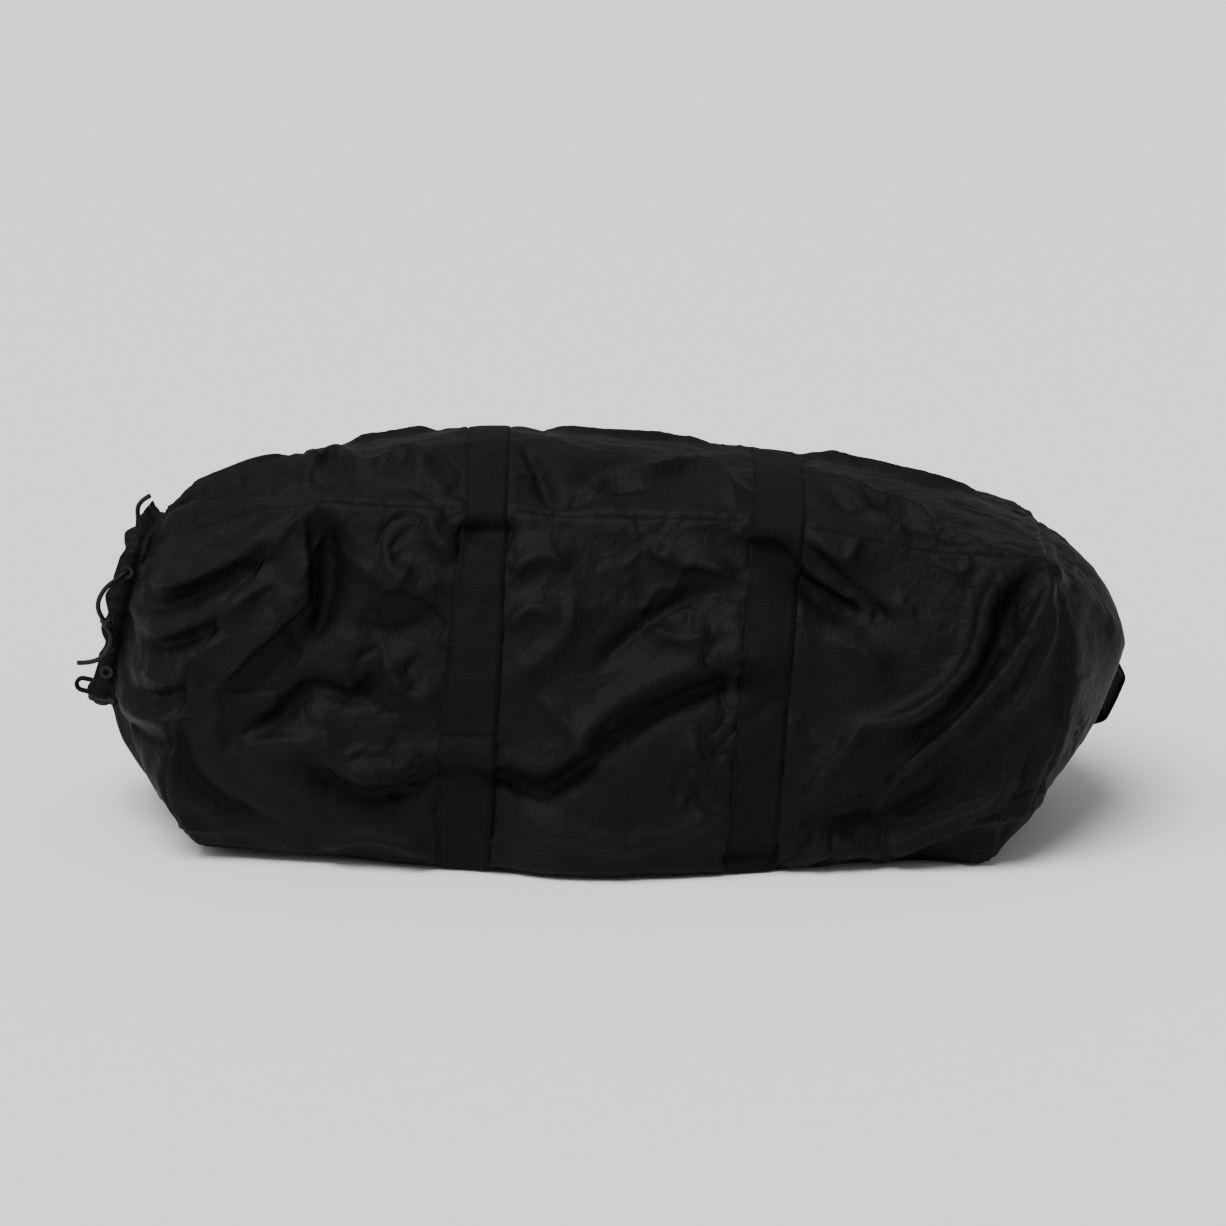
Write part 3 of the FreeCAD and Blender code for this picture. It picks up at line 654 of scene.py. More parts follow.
def pressed(fine, settings):
    # cloth gives way behind the hanging strap and under the sewn grab handle
    x, y, z = fine[..., 0], fine[..., 1], fine[..., 2]
    sideEase, heightEase = settings["sideEase"], settings["heightEase"]
    slope = math.tan(math.radians(settings["strapLean"]))
    strapFace = settings["strapY"] + (settings["strapZ"] - z) * slope - settings["strapRoom"]
    window = 1 - rise(np.abs(x), settings["strapReach"], settings["strapReach"] + sideEase)
    window = window * rise(z, settings["strapLow"] - heightEase, settings["strapLow"])
    window = window * (1 - rise(z, settings["strapHigh"], settings["strapHigh"] + heightEase))
    y = y - np.maximum(y - strapFace, 0) * window
    lean = math.radians(settings["facetLean"])
    centre = settings["facet"]
    out = (x - centre[0]) * math.cos(lean) - (z - centre[2]) * math.sin(lean)
    up = (x - centre[0]) * math.sin(lean) + (z - centre[2]) * math.cos(lean)
    wide, tall = settings["facetReach"]
    window = (1 - rise(np.abs(y), wide, wide + sideEase)) * (1 - rise(np.abs(up), tall, tall + heightEase))
    excess = np.maximum(out + settings["facetSink"], 0) * window * (x > settings["facetFrom"])
    return np.stack([x - excess * math.cos(lean), y, z + excess * math.sin(lean)], -1)


creaseSettings = {"share": 0.72, "width": 0.46, "crumple": 0.0042, "smallCrumple": 0.0009}


def ridges(points, scale, seed, sharp):
    line = np.exp(-np.abs(slowNoise(points, scale, seed)) / sharp)
    patches = rise(slowNoise(points, scale * 2.2, seed + 50), -0.10, 0.45)
    return (line - 0.4) * patches


def creases(fine, fineSides, settings):
    lift = np.zeros(fine.shape[:2])
    for side, axes, folds in foldSides:
        here = fineSides == side
        flat = fine[:, here][:, :, axes]
        for points, height, above, below in folds:
            fold = (points, height * settings["share"], above * settings["width"], below * settings["width"])
            lift[:, here] += foldField(flat, fold)
    lift += settings["crumple"] * (ridges(fine, 0.12, 31, 0.12) - ridges(fine, 0.10, 33, 0.12))
    lift[:, fineSides == 1] *= 0.7
    lift[:, fineSides == 2] *= 0.5
    lift += settings["smallCrumple"] * (ridges(fine, 0.055, 35, 0.25) - ridges(fine, 0.05, 37, 0.25))
    here = fineSides == 0
    flat = fine[:, here][:, :, (0, 2)]
    for flap in frontFlaps:
        lift[:, here] += flapField(flat, flap)
    return lift


def finish(shape, grid, settings):
    fine = finerGrid(grid, shape["finer"])
    finePlaces = np.linspace(places[0], places[-1], fine.shape[0])
    fineSides = np.repeat(sides, shape["finer"])
    counts = [int((fineSides == side).sum()) for side in range(4)]
    farAway = settings["farAway"]
    step = np.linalg.norm(np.roll(fine, -1, 1) - fine, axis=2)
    length = np.cumsum(step, 1) - step
    starts = np.cumsum([0] + counts)
    seamDistance = np.full(fine.shape[:2], farAway)
    total = length[:, -1:] + step[:, -1:]
    for start in starts[:-1]:
        gap = np.abs(length - length[:, start:start + 1])
        seamDistance = np.minimum(seamDistance, np.minimum(gap, total - gap))
    ends = np.minimum(np.abs(finePlaces - collarSeam), np.abs(finePlaces - endSeam))[:, None]
    inGores = (finePlaces < endSeam)[:, None]
    distance = np.minimum(np.where(inGores, seamDistance, farAway), ends)
    groove = -settings["groove"] * np.exp(-(distance / settings["grooveWidth"]) ** 2)
    beside = (distance - settings["shoulderPlace"]) / settings["shoulderWidth"]
    shoulder = settings["shoulder"] * np.exp(-beside ** 2)
    bandGap = np.full(len(finePlaces), farAway)
    for centre in shape["bands"]:
        bandGap = np.minimum(bandGap, np.abs(np.abs(finePlaces - centre) - shape["bandWidth"] / 2))
    nearSeam = np.exp(-(distance / settings["puckerReach"]) ** 2)
    nearBand = np.exp(-(bandGap[:, None] / settings["bandPuckerReach"]) ** 2)
    wobble = slowNoise(fine, settings["puckerScale"], 11)
    bandWobble = slowNoise(fine * np.array([0.25, 1, 1]), settings["bandPuckerScale"], 12)
    inside = 1 - bandNearness(finePlaces, shape, 0.002)[:, None]
    lift = groove + shoulder + settings["pucker"] * nearSeam * wobble
    bandLift = settings["bandPucker"] * nearBand * bandWobble
    lift = lift * inside + bandLift * inside - settings["underBand"] * (1 - inside)
    endFade = (1 - rise(finePlaces, 0.74, 0.82)) * eased(0.25, rise(finePlaces, 0, 0.03))
    seamFade = eased(0.45, rise(distance, 0, 0.012))
    lift += creases(fine, fineSides, creaseSettings) * endFade[:, None] * seamFade
    lift = lift * np.where(fineSides == 3, 0.2, 1.0)[None, :]
    fine = fine + gridNormals(fine) * lift[..., None]
    fine = pressed(fine, pressSettings)
    floor = settings["floor"] + settings["floorUnderBand"] * (1 - inside)
    fine[..., 2] = np.maximum(fine[..., 2], floor)
    uv = np.stack([np.repeat(finePlaces[:, None], fine.shape[1], 1), length], -1)
    return finePlaces, fineSides, fine, uv


finePlaces, fineSides, fineGrid, sheetUv = finish(bodyShape, foldedGrid, seamSettings)


def canvasFinish():
    finish = Finish("blackNylon")
    place = finish.place()
    weave = finish.noise(1500.0, 2.0, 0.6)
    crinkle = finish.noise(70.0, 5.0, 0.58, 0.6)
    creases = finish.node("ShaderNodeTexVoronoi", {"feature": "DISTANCE_TO_EDGE"}, {
        "Vector": finish.mix(0.030, place, finish.node("ShaderNodeTexNoise", {}, {
            "Vector": place, "Scale": 14.0, "Detail": 3.0}, 1)), "Scale": 21.0})
    soft = finish.noise(9.0, 3.0)
    shade = (crinkle - 0.5) * 0.35 + (soft - 0.5) * 0.5 + (weave - 0.5) * 0.4 + 0.5
    colour = finish.mix(shade.clamped(), (0.0011, 0.0011, 0.0012, 1), (0.0028, 0.0028, 0.0030, 1))
    height = crinkle * 0.8 + (creases * 6).clamped() * 0.10 + finish.noise(260.0, 3.0) * 0.12
    coarse = finish.bump(height, 0.0030, 0.95)
    grain = finish.bump(weave, 0.0004, 0.5, coarse)
    rough = 0.63 + (soft - 0.5) * 0.16 + (weave - 0.5) * 0.1
    return finish.surface(Base_Color=colour, Roughness=rough, Normal=grain, Specular_IOR_Level=0.12)


weaveSettings = {"rib": 0.0017, "twill": 0.009, "stitchInset": 0.0026, "stitchPitch": 0.0046, "turn": 6.2832}


def webbingFinish(width, name="blackWebbing", stitchedAndShaded=True):
    finish = Finish(name)
    turn = weaveSettings["turn"]
    across, along, _ = finish.parts(finish.sheetPlace())
    fromEdge = width / 2 - (across - width / 2).size()
    twill = (across * (turn / weaveSettings["twill"])).wave() * 1.3
    ribs = (along * (turn / weaveSettings["rib"]) + twill).wave() * 0.5 + 0.5
    wear = finish.noise(220.0, 3.0)
    height = ribs * 0.35 + wear * 0.3
    shade = (ribs * 0.5 + (wear - 0.5)).clamped()
    colour = finish.mix(shade, (0.0017, 0.0017, 0.0018, 1), (0.0036, 0.0036, 0.0038, 1))
    if stitchedAndShaded:
        fromRow = (fromEdge - weaveSettings["stitchInset"]).size()
        # painted shade: the stitch dashes are coloured near black to stand for the shadow at the edges of the
        # puckers beside the stitching; the same dashes also raise the stitches in the bump
        stitchAndShade = (along * (1 / weaveSettings["stitchPitch"])).part().below(0.62) * fromRow.below(0.0008)
        dip = fromRow.below(0.0015)
        colour = finish.mix(stitchAndShade, colour, (0.0003, 0.0003, 0.0003, 1))
        height = height + stitchAndShade * 0.9 - dip * 0.7
    return finish.surface(Base_Color=colour, Roughness=0.74 + (wear - 0.5) * 0.2,
                          Normal=finish.bump(height, 0.0007, 0.9), Specular_IOR_Level=0.11)


def metalFinish():
    finish = Finish("blackEnamel")
    wear = finish.noise(320.0, 4.0)
    colour = finish.mix(wear, (0.0030, 0.0030, 0.0032, 1), (0.008, 0.008, 0.0085, 1))
    return finish.surface(Base_Color=colour, Roughness=0.45 + (wear - 0.5) * 0.2,
                          Normal=finish.bump(wear, 0.0002, 0.4), Specular_IOR_Level=0.25)


def plasticFinish():
    finish = Finish("blackPlastic")
    grain = finish.noise(1400.0, 2.0)
    colour = finish.mix(grain, (0.004, 0.004, 0.0044, 1), (0.008, 0.008, 0.0085, 1))
    return finish.surface(Base_Color=colour, Roughness=0.45 + (grain - 0.5) * 0.15,
                          Normal=finish.bump(grain, 0.0002, 0.5))


def laceFinish():
    finish = Finish("blackLace")
    braid = finish.noise(900.0, 2.0)
    strands = finish.node("ShaderNodeTexWave", {"wave_type": "BANDS", "bands_direction": "DIAGONAL"}, {
        "Vector": finish.place(), "Scale": 340.0, "Distortion": 1.5, "Detail": 1.0}, 1)
    colour = finish.mix(strands, (0.0035, 0.0035, 0.0038, 1), (0.010, 0.010, 0.011, 1))
    height = strands * 0.6 + braid * 0.4
    return finish.surface(Base_Color=colour, Roughness=0.55 + (braid - 0.5) * 0.2,
                          Normal=finish.bump(height, 0.0006, 0.8), Specular_IOR_Level=0.2)


canvas = canvasFinish()
bandWebbing = webbingFinish(bodyShape["bandWidth"])
enamel = metalFinish()
acetal = plasticFinish()
lace = laceFinish()
tape = webbingFinish(0.009, "blackTape", stitchedAndShaded=False)


def dress(piece, material, body="bag", nodes=()):
    piece.data.materials.clear()
    piece.data.materials.append(material)
    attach(piece, body)
    if nodes:
        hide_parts(*nodes)
    return piece


def cutPanel(name, first, last, side=None):
    columns = np.flatnonzero((finePlaces >= first - 1e-6) & (finePlaces <= last + 1e-6))
    if side is None:
        piece = gridPiece(name, fineGrid[columns], sheetUv[columns], closed=True)
    else:
        rows = np.flatnonzero(fineSides == side)
        rows = np.append(rows, (rows[-1] + 1) % fineGrid.shape[1])
        piece = gridPiece(name, fineGrid[columns][:, rows], sheetUv[columns][:, rows])
    return dress(piece, canvas, nodes=[name])


fineCollarSeam = finePlaces[np.abs(finePlaces - collarSeam).argmin()]
fineEndSeam = finePlaces[np.abs(finePlaces - endSeam).argmin()]
for side, part in enumerate(("front", "top", "back", "bottom")):
    cutPanel(part + "_panel", fineCollarSeam, fineEndSeam, side)
    cutPanel("collar_" + part, 0, fineCollarSeam, side)
cutPanel("end_panel", fineEndSeam, sheetEnd)
print("panels made")


bandSettings = {"thickness": 0.0016, "edgeRound": 0.0011, "across": 12, "rest": 0.0002, "edgeSink": 0.0006}
lapJoint = {
    "band": "body_band_left",
    "height": 0.113,
    "length": 0.045,
    "foot": 0.02,
    "step": 0.0018,
    "edge": 0.0015,
    "groove": 0.0014,
    "grooveRise": 0.001,
    "grooveWidth": 0.0016,
}


def bodyBand(name, centre, shape, settings):
    half = shape["bandWidth"] / 2
    shares = np.linspace(-1, 1, settings["across"] + 1)
    smooth = blurGrid(fineGrid, 3)
    at = (centre + shares * half - finePlaces[0]) / (finePlaces[1] - finePlaces[0])
    low = np.floor(at).astype(int)
    t = (at - low)[:, None, None]
    rows = smooth[low] * (1 - t) + smooth[low + 1] * t
    out = gridNormals(rows)
    stand = settings["thickness"] - settings["edgeRound"] * np.abs(shares) ** 10
    stand = stand[:, None] + settings["rest"] + np.zeros(rows.shape[:2])
    if name == lapJoint["band"]:
        tall, joint = rows[..., 2], lapJoint["height"]
        under = rise(joint - tall, 0, lapJoint["edge"]) * rise(tall, lapJoint["foot"], lapJoint["length"])
        groove = np.exp(-((tall - joint - lapJoint["grooveRise"]) / lapJoint["grooveWidth"]) ** 2)
        stand += (lapJoint["step"] * under - lapJoint["groove"] * groove) * (fineSides == 0)[None, :]
    upper = rows + out * stand[..., None]
    sunk = rows - out * settings["edgeSink"]
    grid = np.concatenate([sunk[:1], upper, sunk[-1:]], 0)
    grid[..., 2] = np.maximum(grid[..., 2], 0.0)
    midline = rows[settings["across"] // 2]
    length = np.cumsum(np.linalg.norm(np.roll(midline, -1, 0) - midline, axis=1))
    uvAcross = np.concatenate([[0], (shares + 1) * half, [2 * half]])
    uv = np.stack(np.meshgrid(uvAcross, length, indexing="ij"), -1)
    return dress(gridPiece(name, grid, uv, closed=True), bandWebbing, nodes=[name])


for name, centre in zip(("body_band_left", "body_band_right"), bodyShape["bands"]):
    bodyBand(name, centre, bodyShape, bandSettings)
print("bands made")


def unit(vectors):
    return vectors / np.maximum(np.linalg.norm(vectors, axis=-1, keepdims=True), 1e-9)


def sweep(name, line, widthWay, width, thickness, closed=False, finer=0.003, edge=0.35):
    line, widthWay = np.array(line, float), np.array(widthWay, float)
    if closed:
        line = np.concatenate([line, line[:1]])
        widthWay = np.concatenate([widthWay, widthWay[:1]])
    places = np.concatenate([[0], np.cumsum(np.linalg.norm(np.diff(line, axis=0), axis=1))])
    wanted = np.linspace(0, places[-1], max(6, int(places[-1] / finer)))
    points = smoothThrough(places, line, wanted)
    ways = smoothThrough(places, widthWay, wanted)
    tangents = unit(np.gradient(points, axis=0))
    ways = unit(ways - tangents * np.sum(ways * tangents, 1, keepdims=True))
    outs = np.cross(tangents, ways)
    w, h, r = width / 2, thickness / 2, thickness * edge
    profile = [(-w, -h + r), (-w, h - r), (-w + r, h), (-w * 0.5, h), (0, h), (w * 0.5, h), (w - r, h)]
    profile += [(-a, -b) for a, b in profile]
    grid = np.stack([points + ways * a + outs * b for a, b in profile], 1)
    uv = np.stack([np.stack([np.full(len(wanted), a + w), wanted], -1) for a, _ in profile], 1)
    rows = len(profile)
    faces = gridFaces(len(wanted), rows, closed=True)
    last = (len(wanted) - 1) * rows
    faces += [list(range(rows)), list(range(last + rows - 1, last - 1, -1))]
    return meshPiece(name, grid.reshape(-1, 3), faces, uv.reshape(-1, 2))


def cordLine(route):
    curve = bpy.data.curves.new("cordRoute", "CURVE")
    curve.dimensions = "3D"
    spline = curve.splines.new("NURBS")
    spline.points.add(len(route) - 1)
    for point, place in zip(spline.points, route):
        point.co = (*place, 1)
    spline.order_u = 3
    spline.use_endpoint_u = True
    curve.resolution_u = 14
    piece = bpy.data.objects.new("cordRoute", curve)
    bpy.context.scene.collection.objects.link(piece)
    bpy.context.view_layer.update()
    mesh = bpy.data.meshes.new_from_object(piece.evaluated_get(bpy.context.evaluated_depsgraph_get()))
    points = np.array([v.co for v in mesh.vertices])
    bpy.data.meshes.remove(mesh)
    bpy.data.objects.remove(piece)
    return points


def tubePiece(name, line, diameter, closed=False, around=14):
    line = np.array(line, float)
    if closed:
        line = np.concatenate([line, line[:1]])
        tangents = unit(np.roll(line[:-1], -1, 0) - np.roll(line[:-1], 1, 0))
        tangents = np.concatenate([tangents, tangents[:1]])
    else:
        tangents = unit(np.gradient(line, axis=0))
    side = unit(np.cross(tangents, np.array([0.3, 0.2, 1.0])))
    up = np.cross(side, tangents)
    radius = diameter / 2
    angles = np.linspace(0, 2 * math.pi, around, endpoint=False)
    grid = np.stack([line + side * math.cos(a) * radius + up * math.sin(a) * radius for a in angles], 1)
    length = np.concatenate([[0], np.cumsum(np.linalg.norm(np.diff(line, axis=0), axis=1))])
    uv = np.stack(np.meshgrid(length, angles * radius, indexing="ij"), -1)[..., ::-1]
    faces = gridFaces(len(line), around, closed=True)
    if not closed:
        last = (len(line) - 1) * around
        faces += [list(range(around)), list(range(last + around - 1, last - 1, -1))]
    return meshPiece(name, grid.reshape(-1, 3), faces, uv.reshape(-1, 2))


# the bindings lie inside the bag
bindingSettings = {"width": 0.009, "thickness": 0.0020, "inset": 0.0045, "lowest": 0.006, "endGap": 0.012,
                   "fromEnd": 0.003, "middleHeight": 0.15}


def bindings(settings):
    starts = [int(np.flatnonzero(fineSides == side)[0]) for side in range(4)]
    gap, fromEnd = settings["endGap"], settings["fromEnd"]
    inner = (finePlaces > collarSeam + gap) & (finePlaces < endSeam - gap)
    for side, name in enumerate(("front_bottom", "front_top", "back_top", "back_bottom")):
        line = fineGrid[inner][:, starts[side]][::8]
        inward = unit(line.mean(0) * [1, 0, 0] + np.array([0, 0, settings["middleHeight"]]) - line)
        inward[:, 0] = 0
        inward = unit(inward)
        line = line + inward * (settings["inset"] + settings["width"] / 2)
        line[:, 2] = np.maximum(line[:, 2], settings["lowest"])
        piece = sweep("seam_binding_" + name, line, inward, settings["width"], settings["thickness"])
        dress(piece, tape, nodes=["seam_binding_" + name])
    ends = (("collar_seam_binding", collarSeam, fromEnd), ("end_seam_binding", endSeam, -fromEnd))
    for name, place, way in ends:
        line = fineGrid[np.abs(finePlaces - place).argmin()][::10]
        inward = unit(line.mean(0) - line)
        line = line + inward * (settings["inset"] + settings["width"] / 2) + np.array([way, 0, 0])
        line[:, 2] = np.maximum(line[:, 2], settings["lowest"])
        piece = sweep(name, line, inward, settings["width"], settings["thickness"], closed=True)
        dress(piece, tape, nodes=[name])


bindings(bindingSettings)


mouth = {
    "centre": (-0.388, 0.0, 0.169),
    "lean": 13.0,
    "width": 0.100,
    "height": 0.140,
    "corner": 0.022,
    "length": 0.018,
    "around": 260,
    "ruffle": 0.0016,
    "exits": (-0.040, 0.044),
    "cordGap": 0.0035,
    "tuck": 0.003,
    "farRim": {"y": 0.012, "reach": 0.034, "back": 0.0050, "up": 0.0065, "edgeBack": 0.009, "edgeUp": 0.009},
    # (along, out) points round the hem's cut: front side, free edge, inner side
    "profile": [(0.004, 0.0022), (0.0, 0.0026), (-0.0028, 0.0020), (-0.0046, 0.0034), (-0.007, 0.0040),
                (-0.009, 0.0041), (-0.011, 0.0040), (-0.0134, 0.0034), (-0.0152, 0.0018), (-0.0178, 0.0016),
                (-0.0186, 0.0), (-0.0178, -0.0016), (-0.0152, -0.0020), (-0.0134, -0.0034), (-0.009, -0.0041),
                (-0.0046, -0.0034), (-0.0028, -0.0020), (0.004, -0.0020)],
}


def inMouth(local):
    lean = math.radians(mouth["lean"])
    local = np.asarray(local, float)
    x, y, z = local[..., 0], local[..., 1], local[..., 2]
    turned = [x * math.cos(lean) + z * math.sin(lean), y, -x * math.sin(lean) + z * math.cos(lean)]
    return np.array(mouth["centre"]) + np.stack(turned, -1)


def outOfMouth(points):
    lean = math.radians(mouth["lean"])
    x, y, z = np.moveaxis(points - np.array(mouth["centre"]), -1, 0)
    turned = [x * math.cos(lean) - z * math.sin(lean), y, x * math.sin(lean) + z * math.cos(lean)]
    return np.stack(turned, -1)


def collarEdge(stations, tuck):
    # the collar's edge beside each station of the hem, tucked under the cloth
    edge = outOfMouth(fineGrid[0])
    turns = np.arctan2(edge[:, 2], edge[:, 1])
    order = np.argsort(turns)
    wanted = np.arctan2(stations[:, 1], stations[:, 0])
    beside = [np.interp(wanted, turns[order], edge[order, k], period=2 * math.pi) for k in range(3)]
    beside = np.stack(beside, -1)
    inward = unit(beside * [0, -1, -1])
    return inMouth(beside + inward * tuck / 2 + np.array([tuck, 0, 0]))


def hemGrid(settings):
    count = settings["around"]
    turn = np.arange(count) / count * 2 * math.pi
    w, h, r = settings["width"] / 2, settings["height"] / 2, settings["corner"]
    straight = [2 * (h - r), 2 * (w - r)]
    arc = r * math.pi / 2
    total = 2 * sum(straight) + 4 * arc
    centre, way = [], []
    for place in turn / (2 * math.pi) * total:
        legs = [("z", -w, -(h - r), 1, straight[0], -1), ("c", -(w - r), h - r, 180, arc, 0),
                ("y", h, -(w - r), 1, straight[1], 1), ("c", w - r, h - r, 90, arc, 0),
                ("z", w, h - r, -1, straight[0], 1), ("c", w - r, -(h - r), 0, arc, 0),
                ("y", -h, w - r, -1, straight[1], -1), ("c", -(w - r), -(h - r), -90, arc, 0)]
        for kind, a, b, c, length, out in legs:
            if place <= length:
                break
            place -= length
        if kind == "z":
            centre.append((a, b + c * place))
            way.append((out, 0))
        elif kind == "y":
            centre.append((b + c * place, a))
            way.append((0, out))
        else:
            angle = math.radians(c - place / length * 90)
            centre.append((a + r * math.cos(angle), b + r * math.sin(angle)))
            way.append((math.cos(angle), math.sin(angle)))
    centre, way = np.array(centre), np.array(way)
    profile = settings["profile"]
    fromExit = np.full(count, 9.0)
    for z in settings["exits"]:
        for side in (-1, 1):
            fromExit = np.minimum(fromExit, np.hypot(centre[:, 0] - side * w, centre[:, 1] - z))
    free = rise(fromExit, 0.006, 0.016)
    waves = np.sin(turn * 23 + 1.2 * np.sin(turn * 3)) + 0.7 * np.sin(turn * 37 + 2)
    ruffle = settings["ruffle"] * free * waves
    reach = 0.0022 * free * np.sin(turn * 17 + 0.7) + 0.0016 * np.sin(turn * 5)
    far = settings["farRim"]
    lifted = np.exp(-((centre[:, 0] - far["y"]) / far["reach"]) ** 2) * rise(centre[:, 1], h - r, h)

    def rowAt(out, off):
        # the far rim stands up, its free edge furthest
        share = min(1.0, max(0.0, -out / settings["length"]))
        position = centre + way * (off + ruffle * (0.3 + 0.7 * share))[:, None]
        row = np.stack([out + reach * share, position[:, 0], position[:, 1]], -1)
        whole = np.array([far["back"], 0, far["up"]])
        edge = np.array([far["edgeBack"], 0, far["edgeUp"]])
        return row + lifted[:, None] * (whole + edge * share ** 2.5)

    uv = np.stack([np.stack([np.full(count, 0.02 + k * 0.002), turn / (2 * math.pi) * total], -1)
                   for k in range(len(profile))], 0)
    run = rowAt(-settings["length"] / 2, 0.0)
    low, high = settings["exits"][0] - settings["cordGap"], settings["exits"][1] + settings["cordGap"]
    gap = (centre[:, 0] < 0.0001 - w) & (centre[:, 1] > low) & (centre[:, 1] < high)
    run = np.roll(run, -1 - np.flatnonzero(gap)[-1], 0)[:count - gap.sum()]
    hem = inMouth(np.stack([rowAt(out, off) for out, off in profile], 0))
    skirt = collarEdge(centre, settings["tuck"])
    uv = np.concatenate([uv[:1] - [settings["tuck"], 0], uv], 0)
    return np.concatenate([skirt[None], hem], 0), uv, inMouth(run)


hemPoints, hemUv, hemRun = hemGrid(mouth)
dress(gridPiece("mouth_hem", hemPoints, hemUv, closed=True), canvas, nodes=["mouth_hem"])


drawcord = {
    "diameter": 0.004,
    "lowerRoute": [(-.3869, -.0540, .2139), (-.3899, -.0660, .2129), (-.4029, -.0710, .2049),
                   (-.4099, -.0700, .1899), (-.4039, -.0670, .1759), (-.3979, -.0640, .1639),
                   (-.4029, -.0620, .1499), (-.4149, -.0600, .1409), (-.4279, -.0590, .1409)],
    "upperRoute": [(-.3869, .0540, .2139), (-.3869, .0630, .2149), (-.3899, .0700, .2229),
                   (-.3939, .0710, .2339), (-.3909, .0680, .2449), (-.3819, .0660, .2499)],
    "knotRadius": 0.0048,
    "knotCord": 0.0034,
}


def knotLine(centre, radius):
    turn = np.linspace(0, 2 * math.pi, 90, endpoint=False)
    x, y, z = np.sin(turn) + 2 * np.sin(2 * turn), np.cos(turn) - 2 * np.cos(2 * turn), -np.sin(3 * turn)
    return np.stack([x, y, z], -1) * radius / 3.0 + np.array(centre)


dress(tubePiece("drawcord_in_hem", hemRun, drawcord["diameter"]), lace, nodes=["drawcord_in_hem"])
knotCentre = np.array(drawcord["lowerRoute"][4]) + np.array([0.002, 0, 0])
knotTurns = knotLine(knotCentre, drawcord["knotRadius"])
knot = dress(tubePiece("drawcord_knot", knotTurns, drawcord["knotCord"], closed=True), lace,
             nodes=["drawcord_knot"])
for name, route, extra in (("drawcord_tail_lower", drawcord["lowerRoute"], [knot]),
                           ("drawcord_tail_upper", drawcord["upperRoute"], [])):
    line = cordLine(route)
    tail = dress(tubePiece(name, line, drawcord["diameter"]), lace, nodes=[name])


pullLoop = {"length": 0.0165, "height": 0.0100, "tape": 0.005, "thickness": 0.0034}


def loopLine(settings):
    start, half, r = -mouth["length"] - 0.0003, settings["height"] / 2, settings["height"] / 2
    low = -mouth["height"] / 2
    turn = [math.radians(a) for a in np.linspace(90, 270, 7)]
    middle = start - settings["length"] + r
    bend = [(middle + r * math.cos(a), 0, low + r * math.sin(a)) for a in turn]
    return inMouth([(start, 0, low + half), *bend, (start, 0, low - half)])


line = loopLine(pullLoop)
loopPiece = sweep("rim_pull_loop", line, np.tile([0, 1.0, 0], (len(line), 1)), pullLoop["tape"],
                  pullLoop["thickness"], finer=0.001)
dress(loopPiece, tape, nodes=["rim_pull_loop"])


grabHandle = {
    "centre": pressSettings["facet"],
    "lean": pressSettings["facetLean"],
    "width": 0.038,
    "thickness": 0.0022,
    "line": [(.0013, -.0480), (.0013, -.0390), (.0018, -.0345), (.0070, -.0290), (.0150, -.0240),
             (.0195, -.0195), (.0206, -.0165), (.0209, -.0080), (.0211, 0), (.0209, .0080), (.0206, .0165),
             (.0195, .0195), (.0150, .0240), (.0070, .0290), (.0018, .0345), (.0013, .0390), (.0013, .0480)],
    "split": 0.0165,
}


def onFacet(settings, out, up):
    lean = math.radians(settings["lean"])
    x, y, z = settings["centre"]
    return (x + out * math.cos(lean) + up * math.sin(lean), y, z - out * math.sin(lean) + up * math.cos(lean))


def makeGrabHandle(settings):
    split = settings["split"]
    parts = {
        "grab_handle_end_lower": [p for p in settings["line"] if p[1] <= -split],
        "grab_handle": [p for p in settings["line"] if -split <= p[1] <= split],
        "grab_handle_end_upper": [p for p in settings["line"] if p[1] >= split],
    }
    for name, line in parts.items():
        points = [onFacet(settings, *p) for p in line]
        acrossWay = np.tile([0, 1.0, 0], (len(points), 1))
        piece = sweep(name, points, acrossWay, settings["width"], settings["thickness"], finer=0.0015)
        piece.data.materials.append(bandWebbing)
        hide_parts(name)
        if name == "grab_handle":
            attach(piece, "grip")
        else:
            foot, top = (line[1], line[-1]) if line[0][1] < 0 else (line[-2], line[0])
            onFacet(settings, *foot)
            onFacet(settings, *top)
            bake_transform(piece)


makeGrabHandle(grabHandle)


strap = {
    "x": 0.208,
    "barY": pressSettings["strapY"],
    "barZ": pressSettings["strapZ"],
    "ringHeight": 0.0205,
    "restAngle": pressSettings["strapLean"],
    "drop": 0.150,
    "corner": 0.062,
    "width": 0.038,
    "thickness": 0.0018,
    "loop": 0.0034,
    "tail": 0.045,
    "seats": [(0.1395, 0.2640), (0.1385, 0.2575)],
}


def hung(points):
    angle = math.radians(strap["restAngle"])
    points = np.array(points, float)
    y, z = points[:, 1] - strap["barY"], points[:, 2] - strap["barZ"]
    points[:, 1] = strap["barY"] + y * math.cos(angle) - z * math.sin(angle)
    points[:, 2] = strap["barZ"] + y * math.sin(angle) + z * math.cos(angle)
    return points


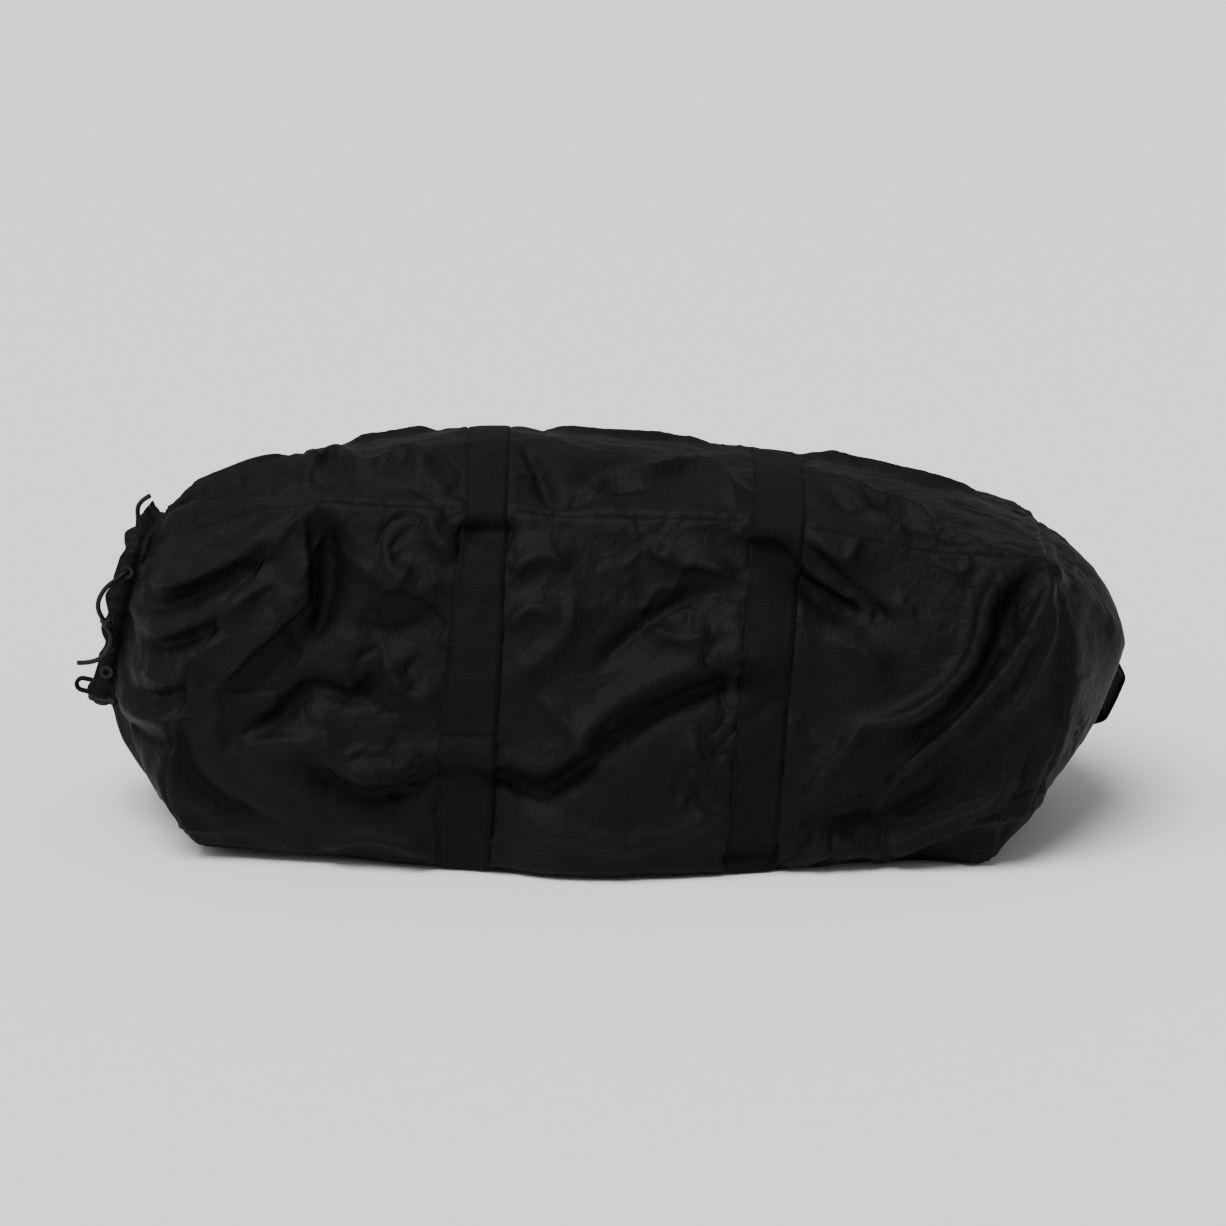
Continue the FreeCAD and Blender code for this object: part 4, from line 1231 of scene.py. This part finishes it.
def makeStrap(settings):
    x, y, r = settings["x"], settings["barY"], settings["loop"]
    top = settings["barZ"] - settings["ringHeight"]
    low, bend = top - settings["drop"], settings["corner"]
    turn = np.radians(np.linspace(0, 180, 7))

    def overBar(side):
        back = [(side * x, y + r, top - settings["tail"]), (side * x, y + r, top - settings["tail"] * 0.5)]
        return back + [(side * x, y + r * math.cos(a), top + r * math.sin(a)) for a in turn]

    corner = np.radians(np.linspace(0, 90, 7))
    left = [(-x + bend - bend * math.cos(a), y, low + bend - bend * math.sin(a)) for a in corner]
    right = [(-px, py, pz) for px, py, pz in left[::-1]]
    middle = [(px, y + 0.0008 * math.sin(px * 60), low) for px in (-0.09, -0.045, 0.0, 0.045, 0.09)]
    line = overBar(-1) + [(-x, y - r * 0.2, top - 0.02), (-x, y, top - 0.05)] + left + middle + right
    line += [(x, y, top - 0.05), (x, y - r * 0.2, top - 0.02)] + overBar(1)[::-1]
    line = np.array(line)
    ways = []
    for px, _, pz in line:
        if abs(px) > x - bend and pz < low + bend:
            centre = np.array([math.copysign(x - bend, px), low + bend])
            out = np.array([px, pz]) - centre
            out = out / np.linalg.norm(out)
        elif pz <= low + bend:
            out = np.array([0, -1.0])
        else:
            out = np.array([math.copysign(1.0, px), 0])
        ways.append((out[0], 0, out[1]))
    ways = np.array(ways)
    flat = hung(line)
    turned = hung(line + ways) - flat
    piece = sweep("shoulder_strap", flat, turned, settings["width"], settings["thickness"], finer=0.0025)
    dress(piece, bandWebbing, body="strap", nodes=["shoulder_strap"])
    barZ = settings["barZ"]
    for side, name, seat in zip((-1, 1), ("strap_tab_left", "strap_tab_right"), settings["seats"]):
        seatY, seatZ = seat
        arc = [(y + r * math.sin(a), barZ + r * math.cos(a)) for a in np.radians(range(40, 241, 40))]
        route = [(seatY + 0.0005, seatZ + 0.001), (y - 0.001, barZ + 0.0085), *arc,
                 (seatY + 0.0010, seatZ - 0.0060), (seatY - 0.001, seatZ - 0.001)]
        line = [(side * x, *point) for point in route]
        ways = np.tile([1.0, 0, 0], (len(line), 1))
        piece = sweep(name, line, ways, settings["width"], settings["thickness"], finer=0.0012)
        dress(piece, bandWebbing, nodes=[name])


makeStrap(strap)
print("webbing and cord made")


# small hard parts keep their CAD shape
hardParts = {"grommets": enamel, "strap_ring_left": enamel, "strap_ring_right": enamel,
             "strap_slider": acetal}
for nodeName, material in hardParts.items():
    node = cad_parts[nodeName]
    node.data.materials.clear()
    node.data.materials.append(material)


studio = {
    "floorSize": 60,
    "floorHeight": -0.0005,
    "world": 0.45,
    "lights": {  # where each shines from, its spread in degrees, its power
        "overhead": ((-0.5, -0.80, 1.8), 38, 4.0),
        "left": ((-2.0, -0.8, 1.2), 30, 0.4),
    },
}


def makeStudio(settings):
    bpy.ops.mesh.primitive_plane_add(size=settings["floorSize"], location=(0, 0, settings["floorHeight"]))
    floor = bpy.context.object
    floor.name = "floor"
    finish = Finish("paleFloor")
    speckle = finish.noise(40.0)
    floor.data.materials.append(finish.surface(
        Base_Color=finish.mix(speckle, (0.86, 0.86, 0.86, 1), (0.88, 0.88, 0.88, 1)), Roughness=0.9))
    world = bpy.data.worlds.new("studio")
    bpy.context.scene.world = world
    world.use_nodes = True
    background = world.node_tree.nodes["Background"]
    background.inputs[0].default_value = (1, 1, 1, 1)
    background.inputs[1].default_value = settings["world"]
    for name, (spot, spread, power) in settings["lights"].items():
        light = bpy.data.objects.new(name, bpy.data.lights.new(name, "SUN"))
        light.data.angle = math.radians(spread)
        light.data.energy = power
        light.rotation_euler = (-Vector(spot)).to_track_quat("-Z", "Y").to_euler()
        bpy.context.scene.collection.objects.link(light)


makeStudio(studio)
